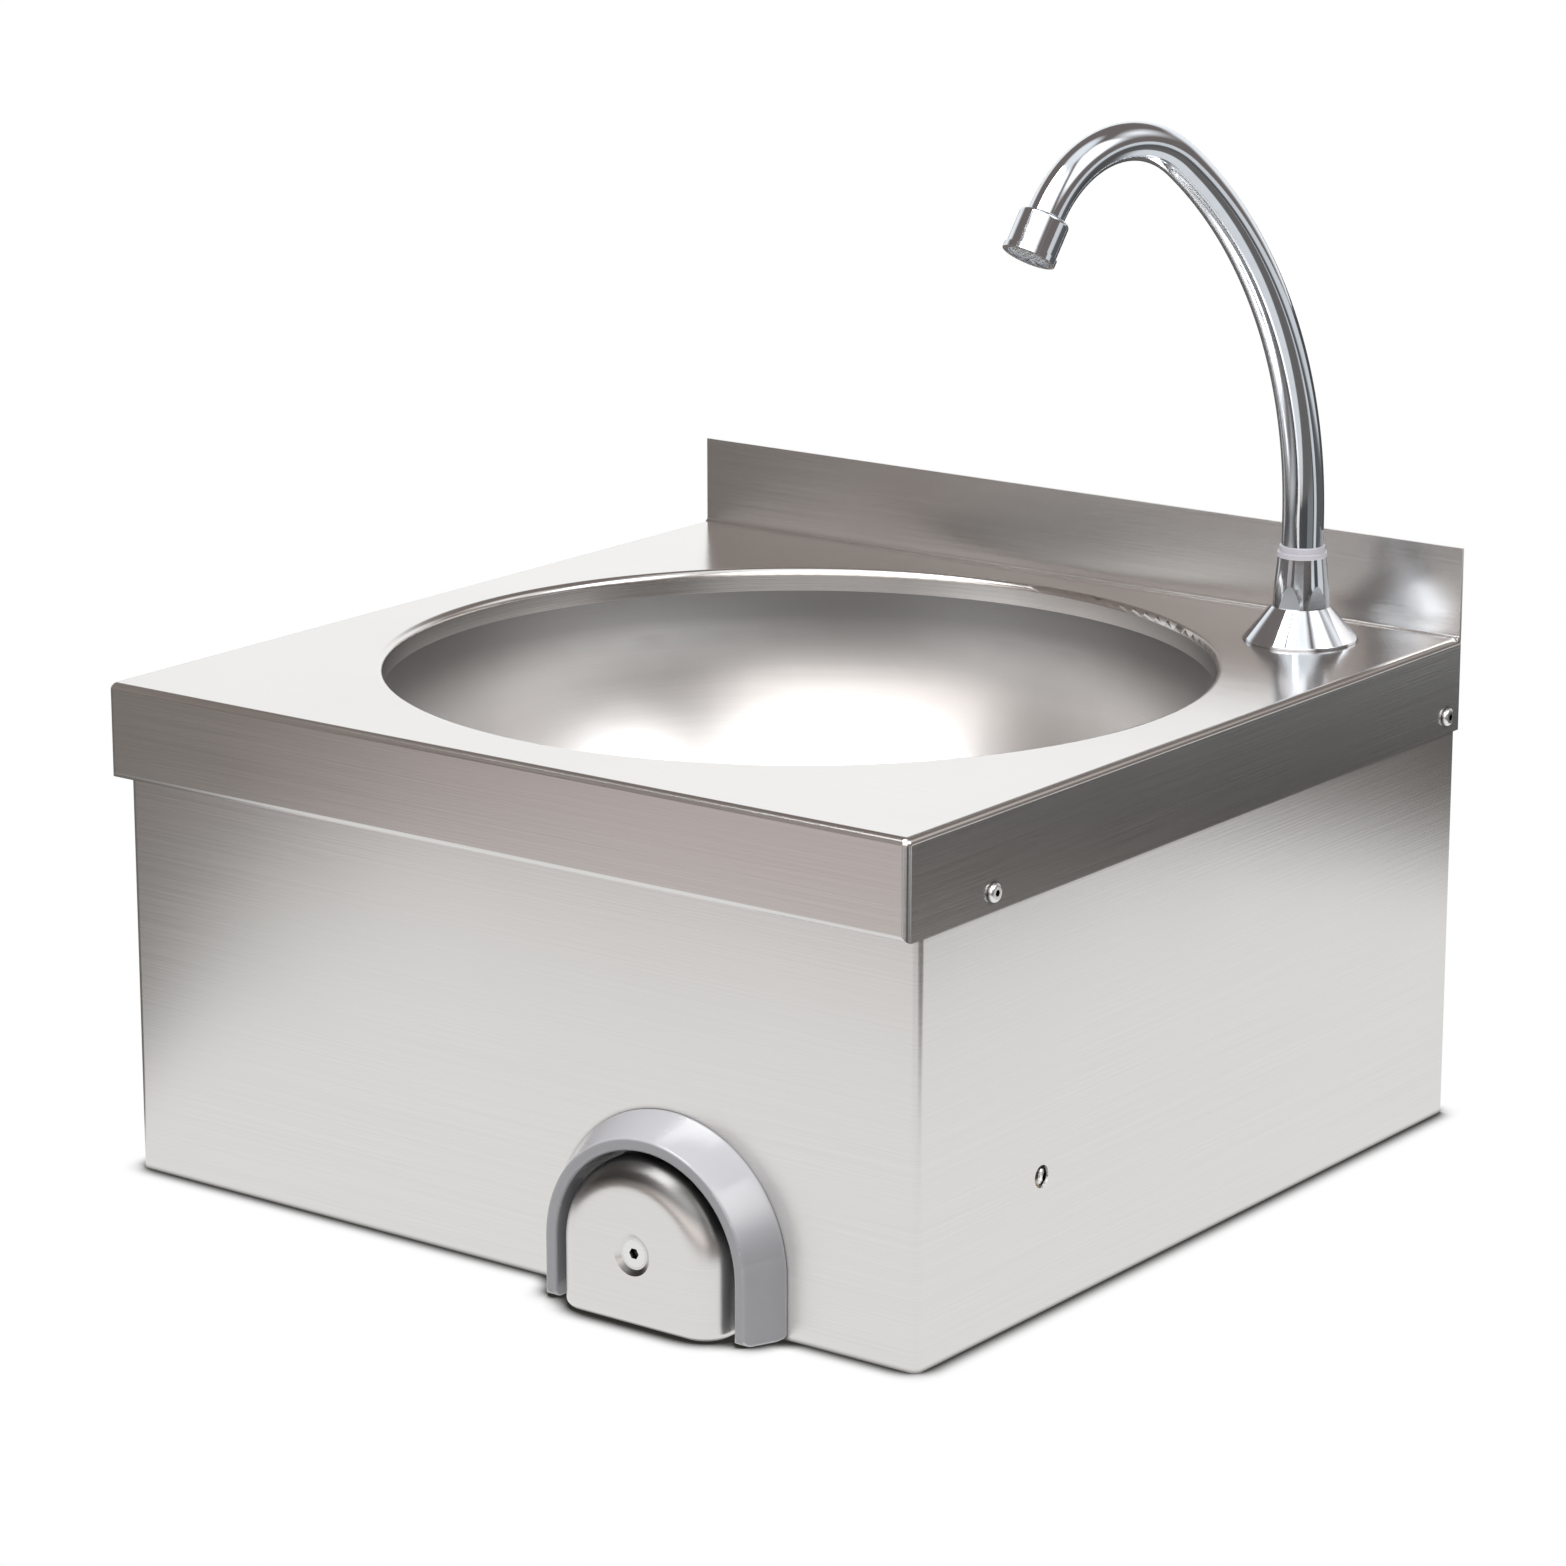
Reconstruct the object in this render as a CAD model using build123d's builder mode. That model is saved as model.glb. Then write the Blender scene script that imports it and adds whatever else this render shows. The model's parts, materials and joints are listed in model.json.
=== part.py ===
"""Wall-hung hand wash sink worked by the knee: sheet basin, swan-neck spout and push valve.

Units are millimetres. The origin is the middle of the footprint at the underside of the casing,
+X to the right when facing the basin, +Y towards the wall, +Z up.
"""
import os
from math import atan, cos, pi, radians, sin

from build123d import *

os.makedirs("parts", exist_ok=True)

# Driving sizes of the whole basin
overall_width = 400
overall_depth = 400
deck_height = 210
upstand_rise = 38.5
apron_drop = 40
pad_proud = 15
sheet = 1.5
bowl_sheet = 1.2
casing_sheet = 1.2
bracket_sheet = 1.5
bowl_margin = 28
under_bowl = 70
overrun = 5
slip = 0.05

# Places that several pieces share
back_y = (overall_depth + pad_proud) / 2
front_y = back_y - overall_depth
half_width = overall_width / 2
deck_under = deck_height - sheet
skirt_inside = half_width - sheet
collar_drop = 10
knee_inset = 117.7
valve_z = 29.4
tap_inset = 53
tap_setback = 42.8
mixer_setback = 96.7
mixer_z = 53.8
bowl_shift = 2
knee_x = half_width - knee_inset
tap_x = half_width - tap_inset
tap_y = back_y - tap_setback
mixer_y = front_y + mixer_setback
bowl_y = (front_y + back_y) / 2 + bowl_shift
bowl_top = deck_height - collar_drop
bowl_radius = min(overall_width, overall_depth) / 2 - bowl_margin
steel = Color(0.72, 0.73, 0.74)
chrome = Color(0.85, 0.86, 0.88)
brass = Color(0.78, 0.65, 0.35)
rubber = Color(0.12, 0.12, 0.12)
plastic = Color(0.6, 0.62, 0.65)
knee_axis = Axis((knee_x, 0, valve_z), (0, 1, 0))
tap_axis = Axis((tap_x, tap_y, 0), (0, 0, 1))
mixer_axis = Axis((0, mixer_y, mixer_z), (1, 0, 0))
bowl_axis = Axis((0, bowl_y, 0), (0, 0, 1))
knee_plane = Plane(origin=(knee_x, 0, valve_z), x_dir=(1, 0, 0), z_dir=(0, 0, 1))
tap_plane = Plane(origin=(tap_x, tap_y, 0), x_dir=(1, 0, 0), z_dir=(0, -1, 0))
mixer_plane = Plane(origin=(0, mixer_y, mixer_z), x_dir=(1, 0, 0), z_dir=(0, -1, 0))
bowl_plane = Plane(origin=(0, bowl_y, 0), x_dir=(1, 0, 0), z_dir=(0, -1, 0))


def square_to_y(x, y, z):
    """Plane square to +Y through a point."""
    return Plane(origin=(x, y, z), x_dir=(1, 0, 0), z_dir=(0, 1, 0))


def square_to_x(x, y, z):
    """Plane square to +X through a point."""
    return Plane(origin=(x, y, z), x_dir=(0, 1, 0), z_dir=(1, 0, 0))


def save(builder, name, colour):
    """Name, colour and export one piece."""
    builder.part.label = name
    builder.part.color = colour
    export_step(builder.part, f"parts/{name}.step")


# Top sheet: deck, apron, skirts, upstand and the rolled rim of the bowl
bend_outer = 2.8
bend_inner = bend_outer - sheet
upstand_bend = 1.2
apron_bottom = deck_height - apron_drop
panel_inset = 9.6
casing_front = front_y + panel_inset
rim_roll = 3
rim_hole_radius = bowl_radius + rim_roll
tap_hole_radius = 11
skirt_screw_drop = 32.3
front_screw_inset = 54.6
rear_screw_inset = 10.5
skirt_screw_z = deck_height - skirt_screw_drop
skirt_screw_ys = (front_y + front_screw_inset, back_y - rear_screw_inset)
screw_clear_radius = 2.25
upstand_top = deck_height + upstand_rise
upstand_front = back_y - sheet

with BuildPart() as basin_hollow:
    with BuildSketch(Plane.XY.offset(apron_bottom + sheet)):
        with Locations((0, (front_y + back_y + sheet + overrun) / 2)):
            Rectangle(2 * skirt_inside, back_y - front_y - sheet + overrun)
    extrude(amount=apron_drop - 2 * sheet)
    hollow_sides = basin_hollow.edges().filter_by(Axis.Z).sort_by(Axis.Y)[:2]
    hollow_roof = basin_hollow.faces().sort_by(Axis.Z)[-1].edges().sort_by(Axis.Y)[:3]
    hollow_foot = basin_hollow.faces().sort_by(Axis.Z)[0].edges().sort_by(Axis.Y)[0]
    fillet(list(hollow_sides) + list(hollow_roof) + [hollow_foot], radius=bend_inner)

with BuildPart() as top_sheet:
    with BuildSketch(Plane.XY.offset(apron_bottom)):
        with Locations((0, (front_y + back_y) / 2)):
            Rectangle(overall_width, overall_depth)
    extrude(amount=apron_drop)
    front_corners = top_sheet.edges().filter_by(Axis.Z).sort_by(Axis.Y)[:2]
    deck_edges = top_sheet.faces().sort_by(Axis.Z)[-1].edges().sort_by(Axis.Y)[:3]
    apron_foot = top_sheet.faces().sort_by(Axis.Z)[0].edges().sort_by(Axis.Y)[0]
    fillet(list(front_corners) + list(deck_edges) + [apron_foot], radius=bend_outer)
    add(basin_hollow.part, mode=Mode.SUBTRACT)
    with BuildSketch(Plane.XY.offset(apron_bottom)):
        with Locations((0, (casing_front + back_y + overrun) / 2)):
            Rectangle(2 * skirt_inside, back_y - casing_front + overrun)
    extrude(amount=2 * sheet, mode=Mode.SUBTRACT)
    with BuildSketch(Plane.YZ):
        with BuildLine():
            Polyline(
                (back_y, deck_under),
                (back_y, upstand_top),
                (upstand_front, upstand_top),
                (upstand_front, deck_height + upstand_bend),
            )
            RadiusArc(
                (upstand_front, deck_height + upstand_bend),
                (upstand_front - upstand_bend, deck_height),
                upstand_bend,
            )
            Polyline(
                (upstand_front - upstand_bend, deck_height),
                (upstand_front - upstand_bend, deck_under),
                (back_y, deck_under),
            )
        make_face()
    extrude(amount=half_width, both=True)
    with BuildSketch(Plane.XY.offset(deck_under - overrun)):
        with Locations((0, bowl_y)):
            Circle(rim_hole_radius)
        with Locations((tap_x, tap_y)):
            Circle(tap_hole_radius)
    extrude(amount=2 * overrun + sheet, mode=Mode.SUBTRACT)
    with BuildSketch(bowl_plane):
        with BuildLine():
            RadiusArc((rim_hole_radius, deck_height), (bowl_radius, deck_height - rim_roll), -rim_roll)
            Polyline(
                (bowl_radius, deck_height - rim_roll),
                (bowl_radius, bowl_top),
                (bowl_radius + sheet, bowl_top),
                (bowl_radius + sheet, deck_height - rim_roll),
            )
            RadiusArc(
                (bowl_radius + sheet, deck_height - rim_roll),
                (rim_hole_radius, deck_under),
                rim_roll - sheet,
            )
            Line((rim_hole_radius, deck_under), (rim_hole_radius, deck_height))
        make_face()
    revolve(axis=bowl_axis)
    with BuildSketch(Plane.YZ.offset(-half_width - overrun)):
        with Locations(*[(y, skirt_screw_z) for y in skirt_screw_ys]):
            Circle(screw_clear_radius)
    extrude(amount=overall_width + 2 * overrun, mode=Mode.SUBTRACT)
save(top_sheet, "top_sheet", steel)

# Bowl: round pressing butted under the rim, with a sunk seat for the strainer
bowl_draft = 3
floor_fall = 5
seat_radius = 36.5
seat_drop = 3
drain_radius = 27
seat_bend = 1.4
corner_share = 0.92
seat_z = under_bowl - seat_drop
wall_height = bowl_top - under_bowl - floor_fall
floor_width = bowl_radius - bowl_draft - seat_radius - seat_drop
bowl_corner = corner_share * min(wall_height, floor_width)

with BuildPart() as bowl:
    with BuildSketch(bowl_plane):
        with BuildLine() as bowl_section:
            FilletPolyline(
                (bowl_radius, bowl_top),
                (bowl_radius - bowl_draft, under_bowl + floor_fall),
                (seat_radius + seat_drop, under_bowl),
                (seat_radius, seat_z),
                (drain_radius, seat_z),
                radius=(bowl_corner, seat_bend, seat_bend),
            )
            offset(amount=bowl_sheet, side=Side.LEFT)
        make_face()
    revolve(axis=bowl_axis)
save(bowl, "bowl", steel)

# Casing: three-sided folded sheet with return flanges and the arch opening for the pad
rail_gauge = 1.5
casing_rear = back_y - rail_gauge
casing_gap = 3.5
casing_top = deck_under - casing_gap
casing_bend = 3
bottom_return = 12
rear_return = 15
arch_z = 24.8
sleeve_outer = 45.4
arch_clear = 0.3
access_radius = 4.6
access_shift = 5
access_lift = 1.8
casing_in_x = skirt_inside - casing_sheet
panel_inside = casing_front + casing_sheet
casing_mid_y = (casing_front + casing_rear) / 2

with BuildPart() as casing:
    with BuildSketch():
        with Locations((0, casing_mid_y)):
            Rectangle(2 * skirt_inside, casing_rear - casing_front)
    extrude(amount=casing_top)
    fillet(casing.edges().filter_by(Axis.Z).sort_by(Axis.Y)[:2], radius=casing_bend)
    with BuildSketch(Plane.XY.offset(casing_sheet)):
        with Locations((0, casing_mid_y)):
            inside = Rectangle(2 * casing_in_x, casing_rear - casing_front - 2 * casing_sheet)
        fillet(inside.vertices().sort_by(Axis.Y)[:2], radius=casing_bend - casing_sheet)
    extrude(amount=casing_top, mode=Mode.SUBTRACT)
    with BuildSketch(Plane.XY.offset(-overrun)):
        with Locations((0, (panel_inside + bottom_return + back_y) / 2)):
            Rectangle(2 * (casing_in_x - bottom_return), back_y - panel_inside - bottom_return)
    extrude(amount=casing_top + 2 * overrun, mode=Mode.SUBTRACT)
    with BuildSketch(Plane.XY.offset(casing_sheet)):
        with Locations((0, casing_rear)):
            Rectangle(2 * (casing_in_x - rear_return), 2 * overrun)
    extrude(amount=casing_top, mode=Mode.SUBTRACT)
    with BuildSketch(square_to_y(knee_x, casing_front - overrun, 0)):
        with Locations((0, -arch_z)):
            Circle(sleeve_outer + arch_clear)
        with Locations((0, 0)):
            Rectangle(2 * (sleeve_outer + arch_clear), 2 * arch_z)
    extrude(amount=overrun + bottom_return + 2 * casing_sheet, mode=Mode.SUBTRACT)
    with BuildSketch(square_to_x(casing_in_x - overrun, mixer_y - access_shift, mixer_z + access_lift)):
        Circle(access_radius)
    extrude(amount=2 * overrun + casing_sheet, mode=Mode.SUBTRACT)
    with BuildSketch(Plane.YZ.offset(-half_width - overrun)):
        with Locations(*[(y, skirt_screw_z) for y in skirt_screw_ys]):
            Circle(screw_clear_radius)
    extrude(amount=overall_width + 2 * overrun, mode=Mode.SUBTRACT)
save(casing, "casing", steel)

# Skirt screws and their weld nuts: button heads outside, hexagon nuts inside the casing
skirt_screw_radius = 2
button_radius = 3.8
button_height = 2.2
button_edge = 1.4
button_hex = 2.5
button_socket = 1.3
skirt_screw_length = 9
weld_nut_flats = 7
weld_nut_height = 3.2

screw_seats = [
    Plane(origin=(side * half_width, y, skirt_screw_z), x_dir=(0, 1, 0), z_dir=(side, 0, 0))
    for side in (-1, 1)
    for y in skirt_screw_ys
]
nut_seats = [
    Plane(origin=(side * casing_in_x, y, skirt_screw_z), x_dir=(0, 1, 0), z_dir=(-side, 0, 0))
    for side in (-1, 1)
    for y in skirt_screw_ys
]

with BuildPart() as button_screw:
    with BuildSketch():
        Circle(button_radius)
    extrude(amount=button_height)
    fillet(button_screw.edges().sort_by(Axis.Z)[-1], radius=button_edge)
    with BuildSketch(Plane.XY.offset(button_height)):
        RegularPolygon(radius=button_hex / 2, side_count=6, major_radius=False)
    extrude(amount=-button_socket, mode=Mode.SUBTRACT)
    with BuildSketch():
        Circle(skirt_screw_radius)
    extrude(amount=-skirt_screw_length)

with BuildPart() as skirt_screws:
    with Locations(*screw_seats):
        add(button_screw.part)
save(skirt_screws, "skirt_screws", steel)

with BuildPart() as casing_nuts:
    with BuildSketch(*nut_seats):
        RegularPolygon(radius=weld_nut_flats / 2, side_count=6, major_radius=False)
        Circle(skirt_screw_radius + slip, mode=Mode.SUBTRACT)
    extrude(amount=weld_nut_height)
save(casing_nuts, "casing_nuts", steel)

# Rear rail: folded channel with two slots for the wall bolts
rail_drop = 40
rail_z = deck_height - rail_drop
rail_height = 40
rail_flange = 12
rail_end_gap = 1.3
rail_bend = 3
slot_inset = 70
slot_spacing = 2 * (half_width - slot_inset)
slot_length = 20
slot_width = 8.5
rail_half = casing_in_x - rail_end_gap
channel_half = casing_in_x - rear_return - rail_end_gap

with BuildPart() as rear_rail:
    with BuildSketch(square_to_y(0, casing_rear, rail_z)):
        Rectangle(2 * rail_half, rail_height)
    extrude(amount=rail_gauge)
    with BuildSketch(Plane.YZ):
        with BuildLine() as channel_line:
            FilletPolyline(
                (casing_rear - rail_flange, rail_z + rail_height / 2),
                (back_y, rail_z + rail_height / 2),
                (back_y, rail_z - rail_height / 2),
                (casing_rear - rail_flange, rail_z - rail_height / 2),
                radius=rail_bend,
            )
            offset(amount=rail_gauge, side=Side.RIGHT)
        make_face()
    extrude(amount=channel_half, both=True)
    with BuildSketch(square_to_y(0, casing_rear - overrun, rail_z)):
        with GridLocations(slot_spacing, 0, 2, 1):
            SlotOverall(slot_length, slot_width)
    extrude(amount=3 * overrun, mode=Mode.SUBTRACT)
save(rear_rail, "rear_rail", steel)

# Knee collar: moulded arch swept round the pad, flared outside, with a sleeve through the panel
collar_front = 17.35
collar_bore = 43.4
collar_outer = 55.7
collar_lip = 5
lip_round = 1.3
sleeve_back = 10.9
flange_edge = 0.8
collar_wall = 2
leg_bottom = 0.3
toe_round = 3
leg_round = 2
clip_depth = 1.8
clip_flat = 1.4
clip_length = 4
clip_width = 12
clip_angles = (25, 90, 155)
collar_nose = casing_front - collar_front
flare = (collar_outer - collar_bore - collar_lip) / (collar_front - flange_edge)
pocket_y = collar_nose + 2 * collar_wall
pocket_top = collar_bore + collar_lip + flare * 2 * collar_wall - collar_wall / cos(atan(flare))
arch_plane = Plane(origin=(knee_x, 0, arch_z), x_dir=(1, 0, 0), z_dir=(0, 0, 1))
arch_axis = Axis((knee_x, 0, arch_z), (0, 1, 0))
collar_outline = [
    (collar_bore, collar_nose),
    (collar_bore + collar_lip, collar_nose),
    (collar_outer, casing_front - flange_edge),
    (collar_outer, casing_front),
    (sleeve_outer, casing_front),
    (sleeve_outer, casing_front + sleeve_back),
    (collar_bore, casing_front + sleeve_back),
]
clip_outline = [
    ((collar_bore + sleeve_outer) / 2, panel_inside),
    (sleeve_outer + clip_depth, panel_inside),
    (sleeve_outer + clip_depth, panel_inside + clip_flat),
    (sleeve_outer, panel_inside + clip_length),
    ((collar_bore + sleeve_outer) / 2, panel_inside + clip_length),
]
pocket_outline = [
    (sleeve_outer, casing_front + slip),
    (sleeve_outer, pocket_y),
    (pocket_top, pocket_y),
    (collar_outer - collar_wall - flange_edge, casing_front + slip),
]

with BuildPart() as collar_pocket:
    with BuildSketch(arch_plane):
        Polygon(*pocket_outline, align=None)
    revolve(axis=arch_axis, revolution_arc=-180)
    with BuildSketch(arch_plane):
        Polygon(*pocket_outline, align=None)
        mirror(about=Plane.YZ)
    extrude(amount=-(arch_z - leg_bottom - collar_wall))

with BuildPart() as knee_collar:
    with BuildSketch(arch_plane):
        Polygon(*collar_outline, align=None)
        fillet(vertices().sort_by(Axis.Y)[:2], radius=lip_round)
    revolve(axis=arch_axis, revolution_arc=-180)
    with BuildSketch(arch_plane):
        Polygon(*collar_outline, align=None)
        fillet(vertices().sort_by(Axis.Y)[:2], radius=lip_round)
        mirror(about=Plane.YZ)
    extrude(amount=-(arch_z - leg_bottom))
    with BuildSketch(Plane(origin=(knee_x, 0, 0), x_dir=(0, 1, 0), z_dir=(1, 0, 0))):
        with BuildLine():
            Line((collar_nose, leg_bottom + toe_round), (collar_nose, leg_bottom))
            Line((collar_nose, leg_bottom), (collar_nose + toe_round, leg_bottom))
            RadiusArc((collar_nose + toe_round, leg_bottom), (collar_nose, leg_bottom + toe_round), toe_round)
        make_face()
    extrude(amount=collar_outer + overrun, both=True, mode=Mode.SUBTRACT)
    with BuildSketch(Plane(origin=(knee_x, casing_front, 0), x_dir=(1, 0, 0), z_dir=(0, -1, 0))):
        with BuildLine():
            Line((collar_outer, leg_bottom + leg_round), (collar_outer, leg_bottom))
            Line((collar_outer, leg_bottom), (collar_outer - leg_round, leg_bottom))
            RadiusArc((collar_outer - leg_round, leg_bottom), (collar_outer, leg_bottom + leg_round), -leg_round)
        make_face()
        mirror(about=Plane.YZ)
    extrude(amount=collar_front + overrun, mode=Mode.SUBTRACT)
    add(collar_pocket.part, mode=Mode.SUBTRACT)
    for angle in clip_angles:
        outward = (cos(radians(angle)), 0, sin(radians(angle)))
        upward = (-sin(radians(angle)), 0, cos(radians(angle)))
        with BuildSketch(Plane(origin=(knee_x, 0, arch_z), x_dir=outward, z_dir=upward)):
            Polygon(*clip_outline, align=None)
        extrude(amount=clip_width / 2, both=True)
save(knee_collar, "knee_collar", plastic)

# Knee pad: pressed arch dish with a dimple that seats the screw head
pad_half = 38.6
pad_arch_z = 27.4
pad_bottom = 0.4
pad_front = -back_y
pad_length = 27.5
pad_back = pad_front + pad_length
pad_sheet = 1.2
pad_round = 12
pad_foot_round = 3
dimple_outer = 8.6
dimple_inner = 6.4
dimple_depth = 1.5
pad_head_radius = 5.55


def arch_block(half, bottom, front, back, edge_round, foot_round):
    """Solid arch from front to back with its front and lower front edges rounded."""
    with BuildPart() as block:
        with BuildSketch(Plane(origin=(knee_x, front, 0), x_dir=(1, 0, 0), z_dir=(0, -1, 0))):
            with BuildLine():
                Line((-half, bottom), (half, bottom))
                Line((half, bottom), (half, pad_arch_z))
                CenterArc((0, pad_arch_z), half, 0, 180)
                Line((-half, pad_arch_z), (-half, bottom))
            make_face()
        extrude(amount=front - back)
        rim = block.faces().sort_by(Axis.Y)[0].edges().sort_by(Axis.Z)
        fillet(rim[1:], radius=edge_round)
        sole = block.faces().sort_by(Axis.Z)[0].edges()
        corners = sole.filter_by(GeomType.CIRCLE)
        front_line = sole.filter_by(Axis.X).sort_by(Axis.Y)[0]
        fillet(list(corners) + [front_line], radius=foot_round)
    return block.part


with BuildPart() as knee_pad:
    add(arch_block(pad_half, pad_bottom, pad_front, pad_back, pad_round, pad_foot_round))
    add(
        arch_block(
            pad_half - pad_sheet,
            pad_bottom + pad_sheet,
            pad_front + pad_sheet,
            pad_back + overrun,
            pad_round - pad_sheet,
            pad_foot_round - pad_sheet,
        ),
        mode=Mode.SUBTRACT,
    )
    with BuildSketch(knee_plane):
        Polygon(
            (0, pad_front + pad_sheet / 2),
            (dimple_outer + pad_sheet, pad_front + pad_sheet / 2),
            (dimple_outer + pad_sheet, pad_front + pad_sheet),
            (dimple_inner + pad_sheet, pad_front + dimple_depth + pad_sheet),
            (0, pad_front + dimple_depth + pad_sheet),
            align=None,
        )
    revolve(axis=knee_axis)
    with BuildSketch(knee_plane):
        Polygon(
            (0, pad_front - overrun),
            (dimple_outer, pad_front - overrun),
            (dimple_outer, pad_front),
            (dimple_inner, pad_front + dimple_depth),
            (pad_head_radius + slip, pad_front + dimple_depth),
            (pad_head_radius + slip - pad_sheet, pad_front + dimple_depth + pad_sheet),
            (0, pad_front + dimple_depth + pad_sheet),
            align=None,
        )
    revolve(axis=knee_axis, mode=Mode.SUBTRACT)
save(knee_pad, "knee_pad", steel)

# Pad hub and screw: turned boss behind the dimple, countersunk screw into the plunger
hub_radius = 13
hub_thick = 5
pad_screw_radius = 3
pad_screw_length = 16
pad_hex = 4
pad_socket = 2.2
hub_front = pad_front + dimple_depth + pad_sheet
hub_back = hub_front + hub_thick
head_top = pad_front + dimple_depth
head_drop = pad_head_radius - pad_screw_radius

with BuildPart() as pad_hub:
    with BuildSketch(knee_plane):
        Polygon(
            (pad_head_radius + slip - pad_sheet, hub_front),
            (hub_radius, hub_front),
            (hub_radius, hub_back),
            (pad_screw_radius + slip, hub_back),
            (pad_screw_radius + slip, head_top + head_drop),
            align=None,
        )
    revolve(axis=knee_axis)
    chamfer(pad_hub.edges().filter_by(GeomType.CIRCLE).sort_by(Axis.Y)[-1:], length=pad_sheet / 2)
save(pad_hub, "pad_hub", steel)

with BuildPart() as pad_screw:
    with BuildSketch(knee_plane):
        Polygon(
            (0, head_top),
            (pad_head_radius, head_top),
            (pad_screw_radius, head_top + head_drop),
            (pad_screw_radius, head_top + pad_screw_length),
            (0, head_top + pad_screw_length),
            align=None,
        )
    revolve(axis=knee_axis)
    with BuildSketch(square_to_y(knee_x, head_top, valve_z)):
        RegularPolygon(radius=pad_hex / 2, side_count=6, major_radius=False)
    extrude(amount=pad_socket, mode=Mode.SUBTRACT)
save(pad_screw, "pad_screw", steel)

# Valve bracket: top-hat bracket welded behind the panel, on both sides of the arch opening
hat_half = 58
hat_flange = 16
hat_bottom = 6
hat_top = 72
hat_depth = 20.7
hat_web_y = panel_inside + hat_depth
hat_bend = 3
nose_radius = 11
hat_flat = hat_half + hat_flange

with BuildPart() as valve_bracket:
    with BuildSketch(Plane(origin=(knee_x, 0, hat_bottom), x_dir=(1, 0, 0), z_dir=(0, 0, 1))):
        with BuildLine():
            FilletPolyline(
                (-hat_flat, panel_inside),
                (-hat_half, panel_inside),
                (-hat_half, hat_web_y - bracket_sheet),
                (hat_half, hat_web_y - bracket_sheet),
                (hat_half, panel_inside),
                (hat_flat, panel_inside),
                radius=hat_bend,
            )
            offset(amount=bracket_sheet, side=Side.LEFT)
        make_face()
    extrude(amount=hat_top - hat_bottom)
    with BuildSketch(square_to_y(knee_x, hat_web_y - overrun, valve_z)):
        Circle(nose_radius + 2 * slip)
    extrude(amount=2 * overrun, mode=Mode.SUBTRACT)
save(valve_bracket, "valve_bracket", steel)

# Valve body: brass barrel with a threaded nose, a seat wall and a side outlet
barrel_radius = 16
inlet_chamber_length = 33
nose_length = 11
gland_bore = 7.45
gland_depth = 14
outlet_chamber_length = 45
seat_wall = 4
orifice = 4.5
inlet_chamber = 9.05
outlet_setback = 38
outlet_boss = 10
outlet_reach = 18
port_radius = 8.3
port_length = 10
port_bore = 5.5
nose_front = hat_web_y - nose_length
outlet_y = nose_front + outlet_setback
outlet_chamber_back = nose_front + outlet_chamber_length
seat_face = outlet_chamber_back + seat_wall
barrel_back = seat_face + inlet_chamber_length
outlet_face = knee_x + outlet_reach + port_length

with BuildPart() as valve_body:
    with BuildSketch(knee_plane):
        Polygon(
            (0, nose_front),
            (nose_radius, nose_front),
            (nose_radius, hat_web_y),
            (barrel_radius, hat_web_y),
            (barrel_radius, barrel_back),
            (0, barrel_back),
            align=None,
        )
    revolve(axis=knee_axis)
    with BuildSketch(square_to_x(knee_x, outlet_y, valve_z)):
        Circle(outlet_boss)
    extrude(amount=outlet_reach)
    with BuildSketch(square_to_x(knee_x, outlet_y, valve_z)):
        Circle(port_radius)
    extrude(amount=outlet_reach + port_length)
    with BuildSketch(knee_plane):
        Polygon(
            (0, nose_front),
            (gland_bore, nose_front),
            (gland_bore, outlet_chamber_back),
            (orifice, outlet_chamber_back),
            (orifice, seat_face),
            (inlet_chamber, seat_face),
            (inlet_chamber, barrel_back),
            (0, barrel_back),
            align=None,
        )
    revolve(axis=knee_axis, mode=Mode.SUBTRACT)
    with BuildSketch(square_to_x(knee_x, outlet_y, valve_z)):
        Circle(port_bore)
    extrude(amount=outlet_reach + port_length, mode=Mode.SUBTRACT)
save(valve_body, "valve_body", brass)

# Valve locknut: thin hexagon nut in front of the bracket
locknut_flats = 27
locknut_height = 5

with BuildPart() as valve_locknut:
    with BuildSketch(square_to_y(knee_x, hat_web_y - bracket_sheet, valve_z)):
        RegularPolygon(radius=locknut_flats / 2, side_count=6, major_radius=False)
        Circle(nose_radius + slip, mode=Mode.SUBTRACT)
    extrude(amount=-locknut_height)
save(valve_locknut, "valve_locknut", brass)

# Plunger gland and seal: guide bush in the nose with a groove for the ring
plunger_radius = 5
gland_flange = 9
gland_flange_thick = 2
gland_groove_depth = 6
gland_groove_y = nose_front + gland_groove_depth
seal_section = 1.8
groove_width = 2.2

with BuildPart() as plunger_gland:
    with BuildSketch(knee_plane):
        Polygon(
            (plunger_radius + slip, nose_front - gland_flange_thick),
            (gland_flange, nose_front - gland_flange_thick),
            (gland_flange, nose_front),
            (gland_bore - slip, nose_front),
            (gland_bore - slip, nose_front + gland_depth),
            (plunger_radius + slip, nose_front + gland_depth),
            align=None,
        )
    revolve(axis=knee_axis)
    with BuildSketch(knee_plane):
        with Locations((plunger_radius + seal_section / 2, gland_groove_y)):
            Rectangle(seal_section + 4 * slip, groove_width)
    revolve(axis=knee_axis, mode=Mode.SUBTRACT)
save(plunger_gland, "plunger_gland", brass)

with BuildPart() as plunger_seal:
    with BuildSketch(knee_plane):
        with Locations((plunger_radius + slip + seal_section / 2, gland_groove_y)):
            Circle(seal_section / 2)
    revolve(axis=knee_axis)
save(plunger_seal, "plunger_seal", rubber)

# Valve inlet cap: screwed into the back of the barrel, with the inlet port
cap_hex = 27
cap_hex_length = 6
cap_thread = 8
inlet_face = barrel_back + cap_hex_length + port_length

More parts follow.
